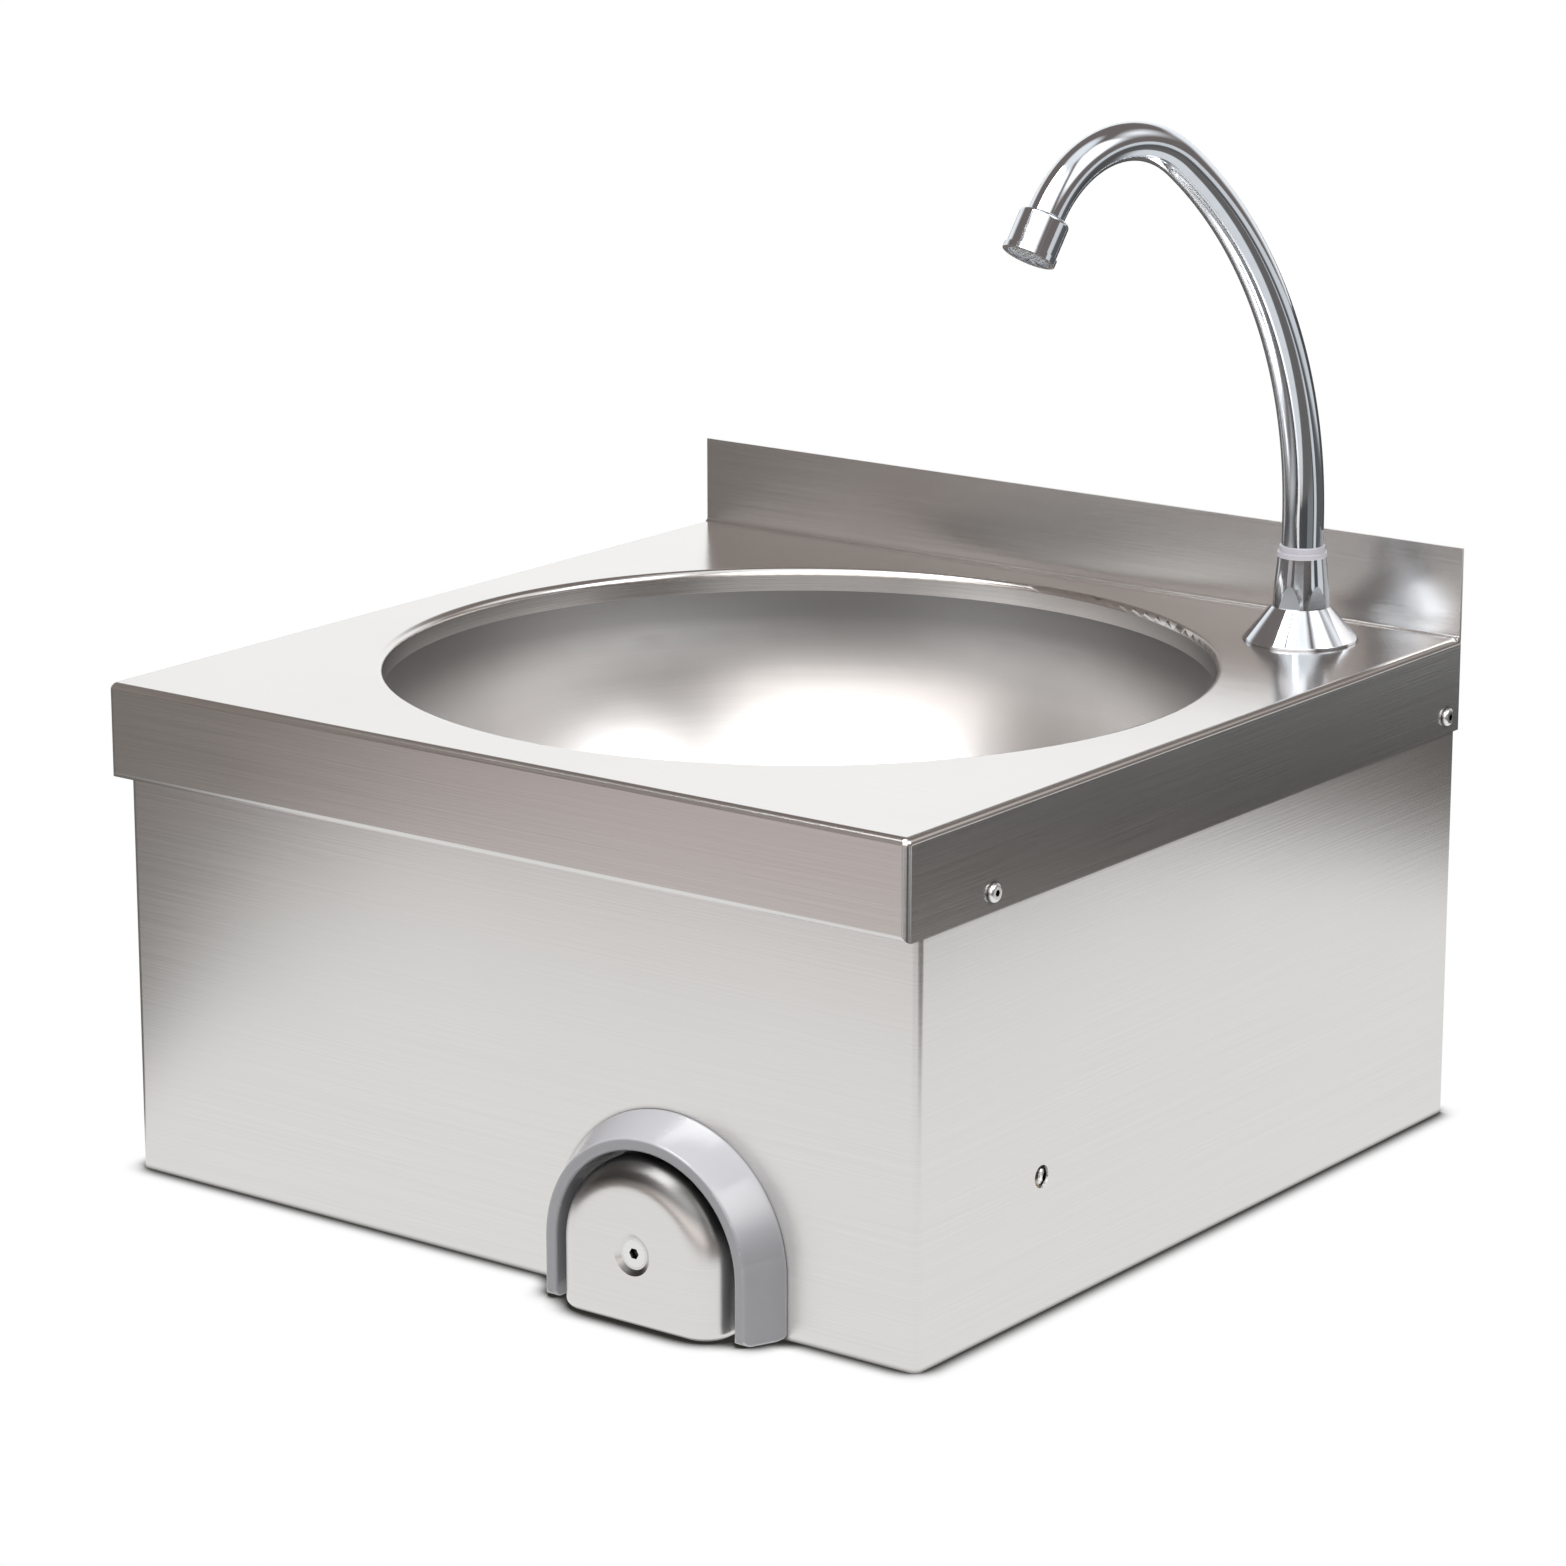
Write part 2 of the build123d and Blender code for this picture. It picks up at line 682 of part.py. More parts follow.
with BuildPart() as valve_cap:
    with BuildSketch(square_to_y(knee_x, barrel_back, valve_z)):
        RegularPolygon(radius=cap_hex / 2, side_count=6, major_radius=False)
    extrude(amount=cap_hex_length)
    with BuildSketch(square_to_y(knee_x, barrel_back, valve_z)):
        Circle(inlet_chamber - slip)
    extrude(amount=-cap_thread)
    with BuildSketch(square_to_y(knee_x, barrel_back, valve_z)):
        Circle(port_radius)
    extrude(amount=cap_hex_length + port_length)
    with BuildSketch(square_to_y(knee_x, barrel_back - cap_thread, valve_z)):
        Circle(port_bore)
    extrude(amount=cap_thread + cap_hex_length + port_length, mode=Mode.SUBTRACT)
save(valve_cap, "valve_cap", brass)

# Plunger, poppet and washer: the rod opens the valve by lifting the poppet off the seat wall
shoulder_depth = 26
plunger_shoulder = nose_front + shoulder_depth
tip_radius = 2.5
washer_radius = 6.5
washer_thick = 2.5
poppet_radius = 7
poppet_thick = 3
washer_back = seat_face + washer_thick
poppet_back = washer_back + poppet_thick

with BuildPart() as plunger:
    with BuildSketch(knee_plane):
        Polygon(
            (0, hub_back),
            (plunger_radius, hub_back),
            (plunger_radius, plunger_shoulder),
            (tip_radius, plunger_shoulder),
            (tip_radius, poppet_back),
            (0, poppet_back),
            align=None,
        )
    revolve(axis=knee_axis)
    with BuildSketch(square_to_y(knee_x, hub_back, valve_z)):
        Circle(pad_screw_radius + slip)
    extrude(amount=pad_screw_length, mode=Mode.SUBTRACT)
save(plunger, "plunger", steel)

with BuildPart() as poppet_washer:
    with BuildSketch(square_to_y(knee_x, seat_face, valve_z)):
        Circle(washer_radius)
        Circle(tip_radius, mode=Mode.SUBTRACT)
    extrude(amount=washer_thick)
save(poppet_washer, "poppet_washer", rubber)

with BuildPart() as poppet:
    with BuildSketch(square_to_y(knee_x, washer_back, valve_z)):
        Circle(poppet_radius)
        Circle(tip_radius, mode=Mode.SUBTRACT)
    extrude(amount=poppet_thick)
save(poppet, "poppet", brass)

# Return spring: compression spring round the plunger, from the hub to the gland
spring_radius = 7.4
spring_wire = 0.7
spring_turns = 6
spring_front = hub_back + spring_wire
spring_back = nose_front - gland_flange_thick - spring_wire
spring_pitch = (spring_back - spring_front) / spring_turns

with BuildPart() as return_spring:
    with BuildLine():
        spring_line = Helix(
            pitch=spring_pitch,
            height=spring_back - spring_front,
            radius=spring_radius,
            center=(knee_x, spring_front, valve_z),
            direction=(0, 1, 0),
        )
    with BuildSketch(Plane(origin=spring_line @ 0, z_dir=spring_line % 0)):
        Circle(spring_wire)
    sweep(path=spring_line, is_frenet=True)
save(return_spring, "return_spring", steel)

# Mixer bracket: top-hat bracket welded to the side of the casing
mixer_hat_half = 21
mixer_hat_flange = 12
mixer_hat_half_z = 15
mixer_hat_depth = 16
mixer_nose = 9
mixer_web_x = casing_in_x - mixer_hat_depth

with BuildPart() as mixer_bracket:
    with BuildSketch(Plane(origin=(0, mixer_y, mixer_z - mixer_hat_half_z), x_dir=(1, 0, 0), z_dir=(0, 0, 1))):
        with BuildLine():
            FilletPolyline(
                (casing_in_x, mixer_hat_half + mixer_hat_flange),
                (casing_in_x, mixer_hat_half),
                (mixer_web_x, mixer_hat_half),
                (mixer_web_x, -mixer_hat_half),
                (casing_in_x, -mixer_hat_half),
                (casing_in_x, -mixer_hat_half - mixer_hat_flange),
                radius=hat_bend,
            )
            offset(amount=bracket_sheet, side=Side.RIGHT)
        make_face()
    extrude(amount=2 * mixer_hat_half_z)
    with BuildSketch(square_to_x(mixer_web_x - overrun, mixer_y, mixer_z)):
        Circle(mixer_nose + 2 * slip)
    extrude(amount=2 * overrun, mode=Mode.SUBTRACT)
save(mixer_bracket, "mixer_bracket", steel)

# Mixer body: brass barrel across the casing, with two inlet bosses and an outlet port
mixer_radius = 14
mixer_barrel = 59.3
mixer_nose_length = 12
inlet_offsets = (12, 42)
inlet_boss = 11.5
inlet_boss_reach = 17
inlet_bore = 8.35
rotor_bore = 6.35
rotor_step = 8
mixer_shoulder = mixer_web_x - bracket_sheet
mixer_left = mixer_web_x - mixer_barrel
inlet_xs = [mixer_left + offset_x for offset_x in inlet_offsets]
rotor_left = mixer_left + rotor_step
nose_end = mixer_shoulder + mixer_nose_length
mixer_port_face = mixer_left - port_length
boss_face = mixer_y + inlet_boss_reach

with BuildPart() as mixer_body:
    with BuildSketch(mixer_plane):
        Polygon(
            (mixer_port_face, 0),
            (mixer_port_face, port_radius),
            (mixer_left, port_radius),
            (mixer_left, mixer_radius),
            (mixer_shoulder, mixer_radius),
            (mixer_shoulder, mixer_nose),
            (nose_end, mixer_nose),
            (nose_end, 0),
            align=None,
        )
    revolve(axis=mixer_axis)
    with BuildSketch(*[square_to_y(x, mixer_y, mixer_z) for x in inlet_xs]):
        Circle(inlet_boss)
    extrude(amount=inlet_boss_reach)
    with BuildSketch(mixer_plane):
        Polygon(
            (mixer_port_face, 0),
            (mixer_port_face, port_bore),
            (rotor_left, port_bore),
            (rotor_left, rotor_bore),
            (nose_end, rotor_bore),
            (nose_end, 0),
            align=None,
        )
    revolve(axis=mixer_axis, mode=Mode.SUBTRACT)
    with BuildSketch(*[square_to_y(x, mixer_y, mixer_z) for x in inlet_xs]):
        Circle(tip_radius)
    extrude(amount=inlet_boss_reach, mode=Mode.SUBTRACT)
    with BuildSketch(*[square_to_y(x, boss_face, mixer_z) for x in inlet_xs]):
        Circle(inlet_bore)
    extrude(amount=-(inlet_boss_reach - rotor_bore), mode=Mode.SUBTRACT)
save(mixer_body, "mixer_body", brass)

# Mixer locknut: holds the mixer body to its bracket
mixer_nut_flats = 22
mixer_nut_height = 5

with BuildPart() as mixer_locknut:
    with BuildSketch(square_to_x(mixer_web_x, mixer_y, mixer_z)):
        RegularPolygon(radius=mixer_nut_flats / 2, side_count=6, major_radius=False)
        Circle(mixer_nose + slip, mode=Mode.SUBTRACT)
    extrude(amount=mixer_nut_height)
save(mixer_locknut, "mixer_locknut", brass)

# Mixing spindle: hollow rotor with two windows and a socket end close behind the access hole
stem_radius = 4.5
rotor_length = 46
stem_gap = 0.4
stem_chamfer = 0.5
rotor_cup = 4
window_radius = 2.5
spindle_hex = 4
spindle_socket = 4
rotor_radius = rotor_bore - slip
stem_shoulder = rotor_left + rotor_length
stem_end = casing_in_x - stem_gap

with BuildPart() as mixing_spindle:
    with BuildSketch(mixer_plane):
        Polygon(
            (rotor_left, 0),
            (rotor_left, rotor_radius),
            (stem_shoulder, rotor_radius),
            (stem_shoulder, stem_radius),
            (stem_end, stem_radius),
            (stem_end, 0),
            align=None,
        )
    revolve(axis=mixer_axis)
    with BuildSketch(square_to_x(rotor_left, mixer_y, mixer_z)):
        Circle(rotor_cup)
    extrude(amount=stem_shoulder - rotor_left - rotor_cup, mode=Mode.SUBTRACT)
    with BuildSketch(*[square_to_y(x, mixer_y, mixer_z) for x in inlet_xs]):
        Circle(window_radius)
    extrude(amount=rotor_bore, mode=Mode.SUBTRACT)
    chamfer(mixing_spindle.edges().filter_by(GeomType.CIRCLE).sort_by(Axis.X)[-1:], length=stem_chamfer)
    with BuildSketch(square_to_x(stem_end, mixer_y, mixer_z)):
        RegularPolygon(radius=spindle_hex / 2, side_count=6, major_radius=False)
    extrude(amount=-spindle_socket, mode=Mode.SUBTRACT)
save(mixing_spindle, "mixing_spindle", steel)

# Mixer gland and spindle seal: keep the rotor in and the stem tight
mixer_gland_flange = 8
mixer_gland_lip = 1.5
spindle_groove_step = 6
spindle_groove_x = stem_shoulder + spindle_groove_step

with BuildPart() as mixer_gland:
    with BuildSketch(mixer_plane):
        Polygon(
            (stem_shoulder + slip, stem_radius + slip),
            (stem_shoulder + slip, rotor_bore - slip),
            (nose_end, rotor_bore - slip),
            (nose_end, mixer_gland_flange),
            (nose_end + mixer_gland_lip, mixer_gland_flange),
            (nose_end + mixer_gland_lip, stem_radius + slip),
            align=None,
        )
    revolve(axis=mixer_axis)
    with BuildSketch(mixer_plane):
        with Locations((spindle_groove_x, stem_radius + slip)):
            Rectangle(groove_width, seal_section + 2 * slip)
    revolve(axis=mixer_axis, mode=Mode.SUBTRACT)
save(mixer_gland, "mixer_gland", brass)

with BuildPart() as spindle_seal:
    with BuildSketch(mixer_plane):
        with Locations((spindle_groove_x, stem_radius + slip + seal_section / 4)):
            Circle(seal_section / 4)
    revolve(axis=mixer_axis)
save(spindle_seal, "spindle_seal", rubber)

# Inlet nipples: half-inch male threads facing the wall, with check valves and filter washers
nipple_radius = 10.48
nipple_length = 14
nipple_flats = 24
nipple_hex_length = 5
nipple_screw = 9
nipple_bore = 6.5
check_flange = 8
check_depth = 9
filter_thick = 1.2
filter_pitch = 1.92
nipple_face = boss_face + nipple_hex_length + nipple_length


def inlet_nipple(x):
    """Double-ended nipple screwed into one inlet boss."""
    with BuildPart() as nipple:
        with BuildSketch(square_to_y(x, boss_face, mixer_z)):
            Circle(inlet_bore - slip)
        extrude(amount=-nipple_screw)
        with BuildSketch(square_to_y(x, boss_face, mixer_z)):
            RegularPolygon(radius=nipple_flats / 2, side_count=6, major_radius=False)
        extrude(amount=nipple_hex_length)
        with BuildSketch(square_to_y(x, boss_face + nipple_hex_length, mixer_z)):
            Circle(nipple_radius)
        extrude(amount=nipple_length)
        with BuildSketch(square_to_y(x, boss_face - nipple_screw, mixer_z)):
            Circle(nipple_bore)
        extrude(amount=nipple_screw + nipple_hex_length + nipple_length, mode=Mode.SUBTRACT)
        with BuildSketch(square_to_y(x, nipple_face, mixer_z)):
            Circle(check_flange + slip)
        extrude(amount=-2 * filter_thick, mode=Mode.SUBTRACT)
    return nipple


hot_inlet_nipple = inlet_nipple(inlet_xs[0])
save(hot_inlet_nipple, "hot_inlet_nipple", brass)
cold_inlet_nipple = inlet_nipple(inlet_xs[1])
save(cold_inlet_nipple, "cold_inlet_nipple", brass)

with BuildPart() as check_valves:
    with BuildSketch(*[square_to_y(x, nipple_face - 2 * filter_thick, mixer_z) for x in inlet_xs]):
        Circle(check_flange)
        Circle(window_radius, mode=Mode.SUBTRACT)
    extrude(amount=filter_thick)
    with BuildSketch(*[square_to_y(x, nipple_face - 2 * filter_thick, mixer_z) for x in inlet_xs]):
        Circle(nipple_bore - slip)
        Circle(window_radius, mode=Mode.SUBTRACT)
    extrude(amount=-check_depth)
save(check_valves, "check_valves", plastic)

with BuildPart() as inlet_filters:
    with BuildSketch(*[square_to_y(x, nipple_face - filter_thick, mixer_z) for x in inlet_xs]):
        Circle(check_flange)
        with GridLocations(filter_pitch, filter_pitch, 3, 3):
            Circle(filter_thick / 2, mode=Mode.SUBTRACT)
    extrude(amount=filter_thick)
save(inlet_filters, "inlet_filters", steel)

# Feed pipe and nuts: bent tube from the mixer outlet round to the back of the knee valve
pipe_radius = 5
pipe_wall = 1
pipe_bend = 12
pipe_collar = 7.5
pipe_collar_thick = 1.5
pipe_loop = 26
pipe_turn_y = inlet_face + pipe_loop
union_flats = 19
union_grip = 8
union_back = 2.5

with BuildPart() as feed_pipe:
    with BuildLine() as feed_route:
        FilletPolyline(
            (mixer_port_face, mixer_y, mixer_z),
            (knee_x, mixer_y, mixer_z),
            (knee_x, pipe_turn_y, mixer_z),
            (knee_x, pipe_turn_y, valve_z),
            (knee_x, inlet_face, valve_z),
            radius=pipe_bend,
        )
    with BuildSketch(Plane(origin=(mixer_port_face, mixer_y, mixer_z), z_dir=(-1, 0, 0))):
        Circle(pipe_radius)
        Circle(pipe_radius - pipe_wall, mode=Mode.SUBTRACT)
    sweep(path=feed_route.wire())
    with BuildSketch(Plane(origin=(mixer_port_face, mixer_y, mixer_z), z_dir=(-1, 0, 0))):
        Circle(pipe_collar)
        Circle(pipe_radius, mode=Mode.SUBTRACT)
    extrude(amount=pipe_collar_thick)
    with BuildSketch(square_to_y(knee_x, inlet_face, valve_z)):
        Circle(pipe_collar)
        Circle(pipe_radius, mode=Mode.SUBTRACT)
    extrude(amount=pipe_collar_thick)
save(feed_pipe, "feed_pipe", steel)


def union_nuts(planes, thread, tube):
    """Hexagon union nuts: each plane lies on a port face and looks along its tube."""
    with BuildPart() as nuts:
        with BuildSketch(*[plane.offset(-union_grip) for plane in planes]):
            RegularPolygon(radius=max(union_flats / 2, thread + union_back), side_count=6, major_radius=False)
        extrude(amount=union_grip + pipe_collar_thick + union_back)
        with BuildSketch(*[plane.offset(-union_grip) for plane in planes]):
            Circle(thread + slip)
        extrude(amount=union_grip + pipe_collar_thick, mode=Mode.SUBTRACT)
        with BuildSketch(*planes):
            Circle(tube + slip)
        extrude(amount=overrun, mode=Mode.SUBTRACT)
    return nuts


mixer_port_plane = Plane(origin=(mixer_port_face, mixer_y, mixer_z), x_dir=(0, 1, 0), z_dir=(-1, 0, 0))
inlet_port_plane = square_to_y(knee_x, inlet_face, valve_z)
feed_nuts = union_nuts([mixer_port_plane, inlet_port_plane], port_radius, pipe_radius)
save(feed_nuts, "feed_nuts", brass)

# Tap body: conical foot, neck and threaded shank in one casting
foot_radius = 23.75
foot_lip = 1
foot_height = 14.7
cone_top_radius = 12.5
neck_radius = 10
neck_height = 31
socket_radius = 8.95
socket_depth = 28
shank_radius = 10.48
shank_drop = 60
shank_bottom = deck_height - shank_drop
shank_bore = 6
foot_seal_in = 12
foot_seal_out = 20
foot_seal_thick = 2
foot_top = deck_height + foot_height
neck_top = deck_height + neck_height
socket_floor = neck_top - socket_depth

with BuildPart() as tap_body:
    with BuildSketch(tap_plane):
        Polygon(
            (shank_bore, shank_bottom),
            (shank_radius, shank_bottom),
            (shank_radius, deck_height + foot_seal_thick),
            (foot_seal_out + slip, deck_height + foot_seal_thick),
            (foot_seal_out + slip, deck_height),
            (foot_radius, deck_height),
            (foot_radius, deck_height + foot_lip),
            (cone_top_radius, foot_top),
            (neck_radius, foot_top),
            (neck_radius, neck_top),
            (socket_radius, neck_top),
            (socket_radius, socket_floor),
            (shank_bore, socket_floor),
            align=None,
        )
    revolve(axis=tap_axis)
    lip_edge = tap_body.edges().filter_by(GeomType.CIRCLE).filter_by(lambda e: e.radius > foot_radius - slip)
    fillet(lip_edge.sort_by(Axis.Z)[-1:], radius=foot_lip / 2)
save(tap_body, "tap_body", chrome)

# Tap seals, washer and backnut: they clamp the deck under the foot
deck_seal_thick = 2
tap_washer_thick = 1.5
tap_washer_radius = 17
backnut_flats = 27
backnut_height = 7

with BuildPart() as tap_base_seal:
    with BuildSketch(Plane.XY.offset(deck_height)):
        with Locations((tap_x, tap_y)):
            Circle(foot_seal_out)
            Circle(foot_seal_in, mode=Mode.SUBTRACT)
    extrude(amount=foot_seal_thick)
save(tap_base_seal, "tap_base_seal", rubber)

with BuildPart() as tap_under_seal:
    with BuildSketch(Plane.XY.offset(deck_under)):
        with Locations((tap_x, tap_y)):
            Circle(tap_washer_radius)
            Circle(tap_hole_radius, mode=Mode.SUBTRACT)
    extrude(amount=-deck_seal_thick)
save(tap_under_seal, "tap_under_seal", rubber)

with BuildPart() as tap_washer:
    with BuildSketch(Plane.XY.offset(deck_under - deck_seal_thick)):
        with Locations((tap_x, tap_y)):
            Circle(tap_washer_radius)
            Circle(tap_hole_radius, mode=Mode.SUBTRACT)
    extrude(amount=-tap_washer_thick)
save(tap_washer, "tap_washer", steel)

with BuildPart() as tap_backnut:
    with BuildSketch(Plane.XY.offset(deck_under - deck_seal_thick - tap_washer_thick)):
        with Locations((tap_x, tap_y)):
            RegularPolygon(radius=backnut_flats / 2, side_count=6, major_radius=False)
            Circle(shank_radius + slip, mode=Mode.SUBTRACT)
    extrude(amount=-backnut_height)
save(tap_backnut, "tap_backnut", brass)

# Swivel nut: conical nut whose six flats run out in arches
nut_height = 21.1
nut_foot_radius = 12.45
nut_top_radius = 10.2
nut_flats = 22.8
nut_turn = 7
nut_bore_height = 18.4
nut_lip_bore = 9.45
nut_top = foot_top + nut_height

with BuildPart() as swivel_nut:
    with BuildSketch(tap_plane):
        Polygon(
            (neck_radius + slip, foot_top),
            (nut_foot_radius, foot_top),
            (nut_top_radius, nut_top),
            (nut_lip_bore, nut_top),
            (nut_lip_bore, foot_top + nut_bore_height),
            (neck_radius + slip, foot_top + nut_bore_height),
            align=None,
        )
    revolve(axis=tap_axis)
    with BuildSketch(Plane.XY.offset(foot_top)):
        with Locations((tap_x, tap_y)):
            RegularPolygon(radius=nut_flats / 2, side_count=6, major_radius=False, rotation=nut_turn)
    extrude(amount=nut_height, mode=Mode.INTERSECT)
save(swivel_nut, "swivel_nut", chrome)

# Swivel ring: plastic bush in the mouth of the nut, in which the spout turns
ring_step_radius = 10.45
ring_step = 2
ring_top_radius = 9.5
ring_top = 2.7
ring_skirt = 2.4
spout_foot_radius = 8.8

with BuildPart() as swivel_ring:
    with BuildSketch(tap_plane):
        Polygon(
            (spout_foot_radius + slip, nut_top - ring_skirt),
            (nut_lip_bore - slip, nut_top - ring_skirt),
            (nut_lip_bore - slip, nut_top),
            (ring_step_radius, nut_top),
            (ring_step_radius, nut_top + ring_step),
            (ring_top_radius, nut_top + ring_step),
            (ring_top_radius, nut_top + ring_step + ring_top),
            (spout_foot_radius + slip, nut_top + ring_step + ring_top),
            align=None,
        )
    revolve(axis=tap_axis)
save(swivel_ring, "swivel_ring", plastic)

# Spout tube: tapering swan neck on two tangent arcs, with a plain foot that turns in the socket
spout_heading = -100.7
spout_rise = 52.5
long_arc_radius = 196
long_arc_angle = 53.1
short_arc_radius = 52.8
short_arc_angle = 95.3
tip_straight = 0.3
tip_tuck = 5
spout_tip_radius = 7.5
spout_wall = 1.1
o_ring_section = 1.45
o_ring_heights = (9, 19)
o_ring_groove = 1.8
retainer_thick = 1.4
retainer_radius = 9.85
retainer_depth = 0.9
heading = Vector(cos(radians(spout_heading)), sin(radians(spout_heading)), 0)
spout_plane = Plane(origin=(tap_x, tap_y, deck_height), x_dir=heading, z_dir=heading.cross(Vector(0, 0, 1)))
foot_bottom = socket_floor - deck_height
collar_height = nut_top + ring_step + ring_top - deck_height

with BuildLine(spout_plane) as spout_route:
    riser = Line((0, collar_height), (0, spout_rise))
    long_arc = JernArc(start=riser @ 1, tangent=riser % 1, radius=long_arc_radius, arc_size=-long_arc_angle)
    short_arc = JernArc(
        start=long_arc @ 1, tangent=long_arc % 1, radius=short_arc_radius, arc_size=-short_arc_angle
    )
    Line(short_arc @ 1, short_arc @ 1 + (short_arc % 1) * (tip_straight + tip_tuck))
spout_wire = spout_route.wire()


def swan_neck(foot, tip):
    """Round tapering limb along the route of the spout."""
    with BuildPart() as limb:
        with BuildSketch(Plane(origin=spout_wire @ 0, z_dir=spout_wire % 0)):
            Circle(foot)
        with BuildSketch(Plane(origin=spout_wire @ 1, z_dir=spout_wire % 1)):
            Circle(tip)
        sweep(path=spout_wire, multisection=True)
    return limb.part


outer_limb = swan_neck(spout_foot_radius, spout_tip_radius)
inner_limb = swan_neck(spout_foot_radius - spout_wall, spout_tip_radius - spout_wall)

with BuildPart() as spout_tube:
    with BuildSketch(Plane.XY.offset(socket_floor)):
        with Locations((tap_x, tap_y)):
            Circle(spout_foot_radius)
    extrude(amount=deck_height + collar_height - socket_floor)
    add(outer_limb)
    with BuildSketch(Plane.XY.offset(socket_floor)):
        with Locations((tap_x, tap_y)):
            Circle(shank_bore)
    extrude(amount=deck_height + collar_height - socket_floor, mode=Mode.SUBTRACT)
    add(inner_limb, mode=Mode.SUBTRACT)
    with BuildSketch(tap_plane):
        with Locations(*[(spout_foot_radius, deck_height + h) for h in o_ring_heights]):
            Rectangle(2 * o_ring_section, o_ring_groove)
        with Locations((spout_foot_radius, neck_top + retainer_thick)):
            Rectangle(2 * retainer_depth, retainer_thick + 2 * slip)
    revolve(axis=tap_axis, mode=Mode.SUBTRACT)
save(spout_tube, "spout_tube", chrome)

with BuildPart() as spout_o_rings:
    with BuildSketch(tap_plane):
        with Locations(*[(socket_radius - slip - o_ring_section / 2, deck_height + h) for h in o_ring_heights]):
            Circle(o_ring_section / 2)
    revolve(axis=tap_axis)
save(spout_o_rings, "spout_o_rings", rubber)

with BuildPart() as spout_retainer:
    with BuildSketch(Plane.XY.offset(neck_top + retainer_thick / 2)):
        with Locations((tap_x, tap_y)):
            Circle(retainer_radius)
            Circle(spout_foot_radius - retainer_depth, mode=Mode.SUBTRACT)
            with Locations((0, retainer_radius)):
                Rectangle(retainer_radius / 2, retainer_radius, mode=Mode.SUBTRACT)
    extrude(amount=retainer_thick)
save(spout_retainer, "spout_retainer", steel)

# Aerator: sleeve brazed to the tip, with a seal and a honeycomb insert
sleeve_radius = 10.3
sleeve_length = 17.5
sleeve_round = 1.6
sleeve_lip_radius = 11
sleeve_lip = 2.4
sleeve_web = 1.5
sleeve_bore = 8.7
aerator_seal_in = 6.5
aerator_seal_thick = 1.6
insert_recess = 1
cell_size = 2.4
cell_pitch = 3
aim = spout_wire % 1
across = heading.cross(Vector(0, 0, 1))
sleeve_start = (spout_wire @ 1) - aim * tip_tuck
sleeve_plane = Plane(origin=sleeve_start, x_dir=across, z_dir=across.cross(aim))
sleeve_axis = Axis(sleeve_start, aim)
web_end = tip_tuck + sleeve_web

with BuildPart() as aerator_sleeve:
    with BuildSketch(sleeve_plane):
        Polygon(
            (spout_tip_radius + slip, 0),
            (sleeve_radius, 0),
            (sleeve_radius, sleeve_length - sleeve_lip),
            (sleeve_lip_radius, sleeve_length - sleeve_lip),
            (sleeve_lip_radius, sleeve_length),
            (sleeve_bore, sleeve_length),
            (sleeve_bore, web_end),
            (spout_tip_radius - spout_wall, web_end),
            (spout_tip_radius - spout_wall, tip_tuck),
            (spout_tip_radius + slip, tip_tuck),
            align=None,
        )
    revolve(axis=sleeve_axis)
    top_edge = aerator_sleeve.edges().filter_by(GeomType.CIRCLE).sort_by_distance(sleeve_start)
    fillet([e for e in top_edge if abs(e.radius - sleeve_radius) < slip][:1], radius=sleeve_round)
save(aerator_sleeve, "aerator_sleeve", chrome)

with BuildPart() as aerator_seal:
    with BuildSketch(Plane(origin=sleeve_start + aim * web_end, x_dir=across, z_dir=aim)):
        Circle(sleeve_bore - slip)
        Circle(aerator_seal_in, mode=Mode.SUBTRACT)
    extrude(amount=aerator_seal_thick)
save(aerator_seal, "aerator_seal", rubber)

insert_start = web_end + aerator_seal_thick
with BuildPart() as aerator_insert:
    with BuildSketch(Plane(origin=sleeve_start + aim * insert_start, x_dir=across, z_dir=aim)):
        Circle(sleeve_bore - slip)
        with HexLocations(cell_pitch / 2, 5, 5):
            RegularPolygon(radius=cell_size / 2, side_count=6, major_radius=False, mode=Mode.SUBTRACT)
    extrude(amount=sleeve_length - insert_recess - insert_start)
save(aerator_insert, "aerator_insert", plastic)

# Supply hose: from the knee valve under the bowl and up to the tap shank, with its end fittings
hose_radius = 6
hose_bore = 4
hose_bend = 20
ferrule_radius = 7.2
ferrule_length = 12
ferrule_gap = 0.3
stub_radius = 5
stub_bore = 2.8
valve_port_plane = Plane(origin=(outlet_face, outlet_y, valve_z), x_dir=(0, 1, 0), z_dir=(1, 0, 0))
tap_port_plane = Plane(origin=(tap_x, tap_y, shank_bottom), x_dir=(1, 0, 0), z_dir=(0, 0, -1))
hose_lead = pipe_collar_thick + union_back + ferrule_gap

with BuildPart() as supply_hose:
    with BuildLine() as hose_route:
        FilletPolyline(
            (outlet_face + hose_lead, outlet_y, valve_z),
            (tap_x, outlet_y, valve_z),
            (tap_x, tap_y, valve_z),
            (tap_x, tap_y, shank_bottom - hose_lead),
            radius=hose_bend,
        )
    with BuildSketch(valve_port_plane.offset(hose_lead)):
        Circle(hose_radius)
        Circle(hose_bore, mode=Mode.SUBTRACT)
    sweep(path=hose_route.wire())
save(supply_hose, "supply_hose", steel)
hose_section = pi * (hose_radius ** 2 - hose_bore ** 2)
print("hose volume over section times length:", round(supply_hose.part.volume / hose_section / hose_route.wire().length, 4))

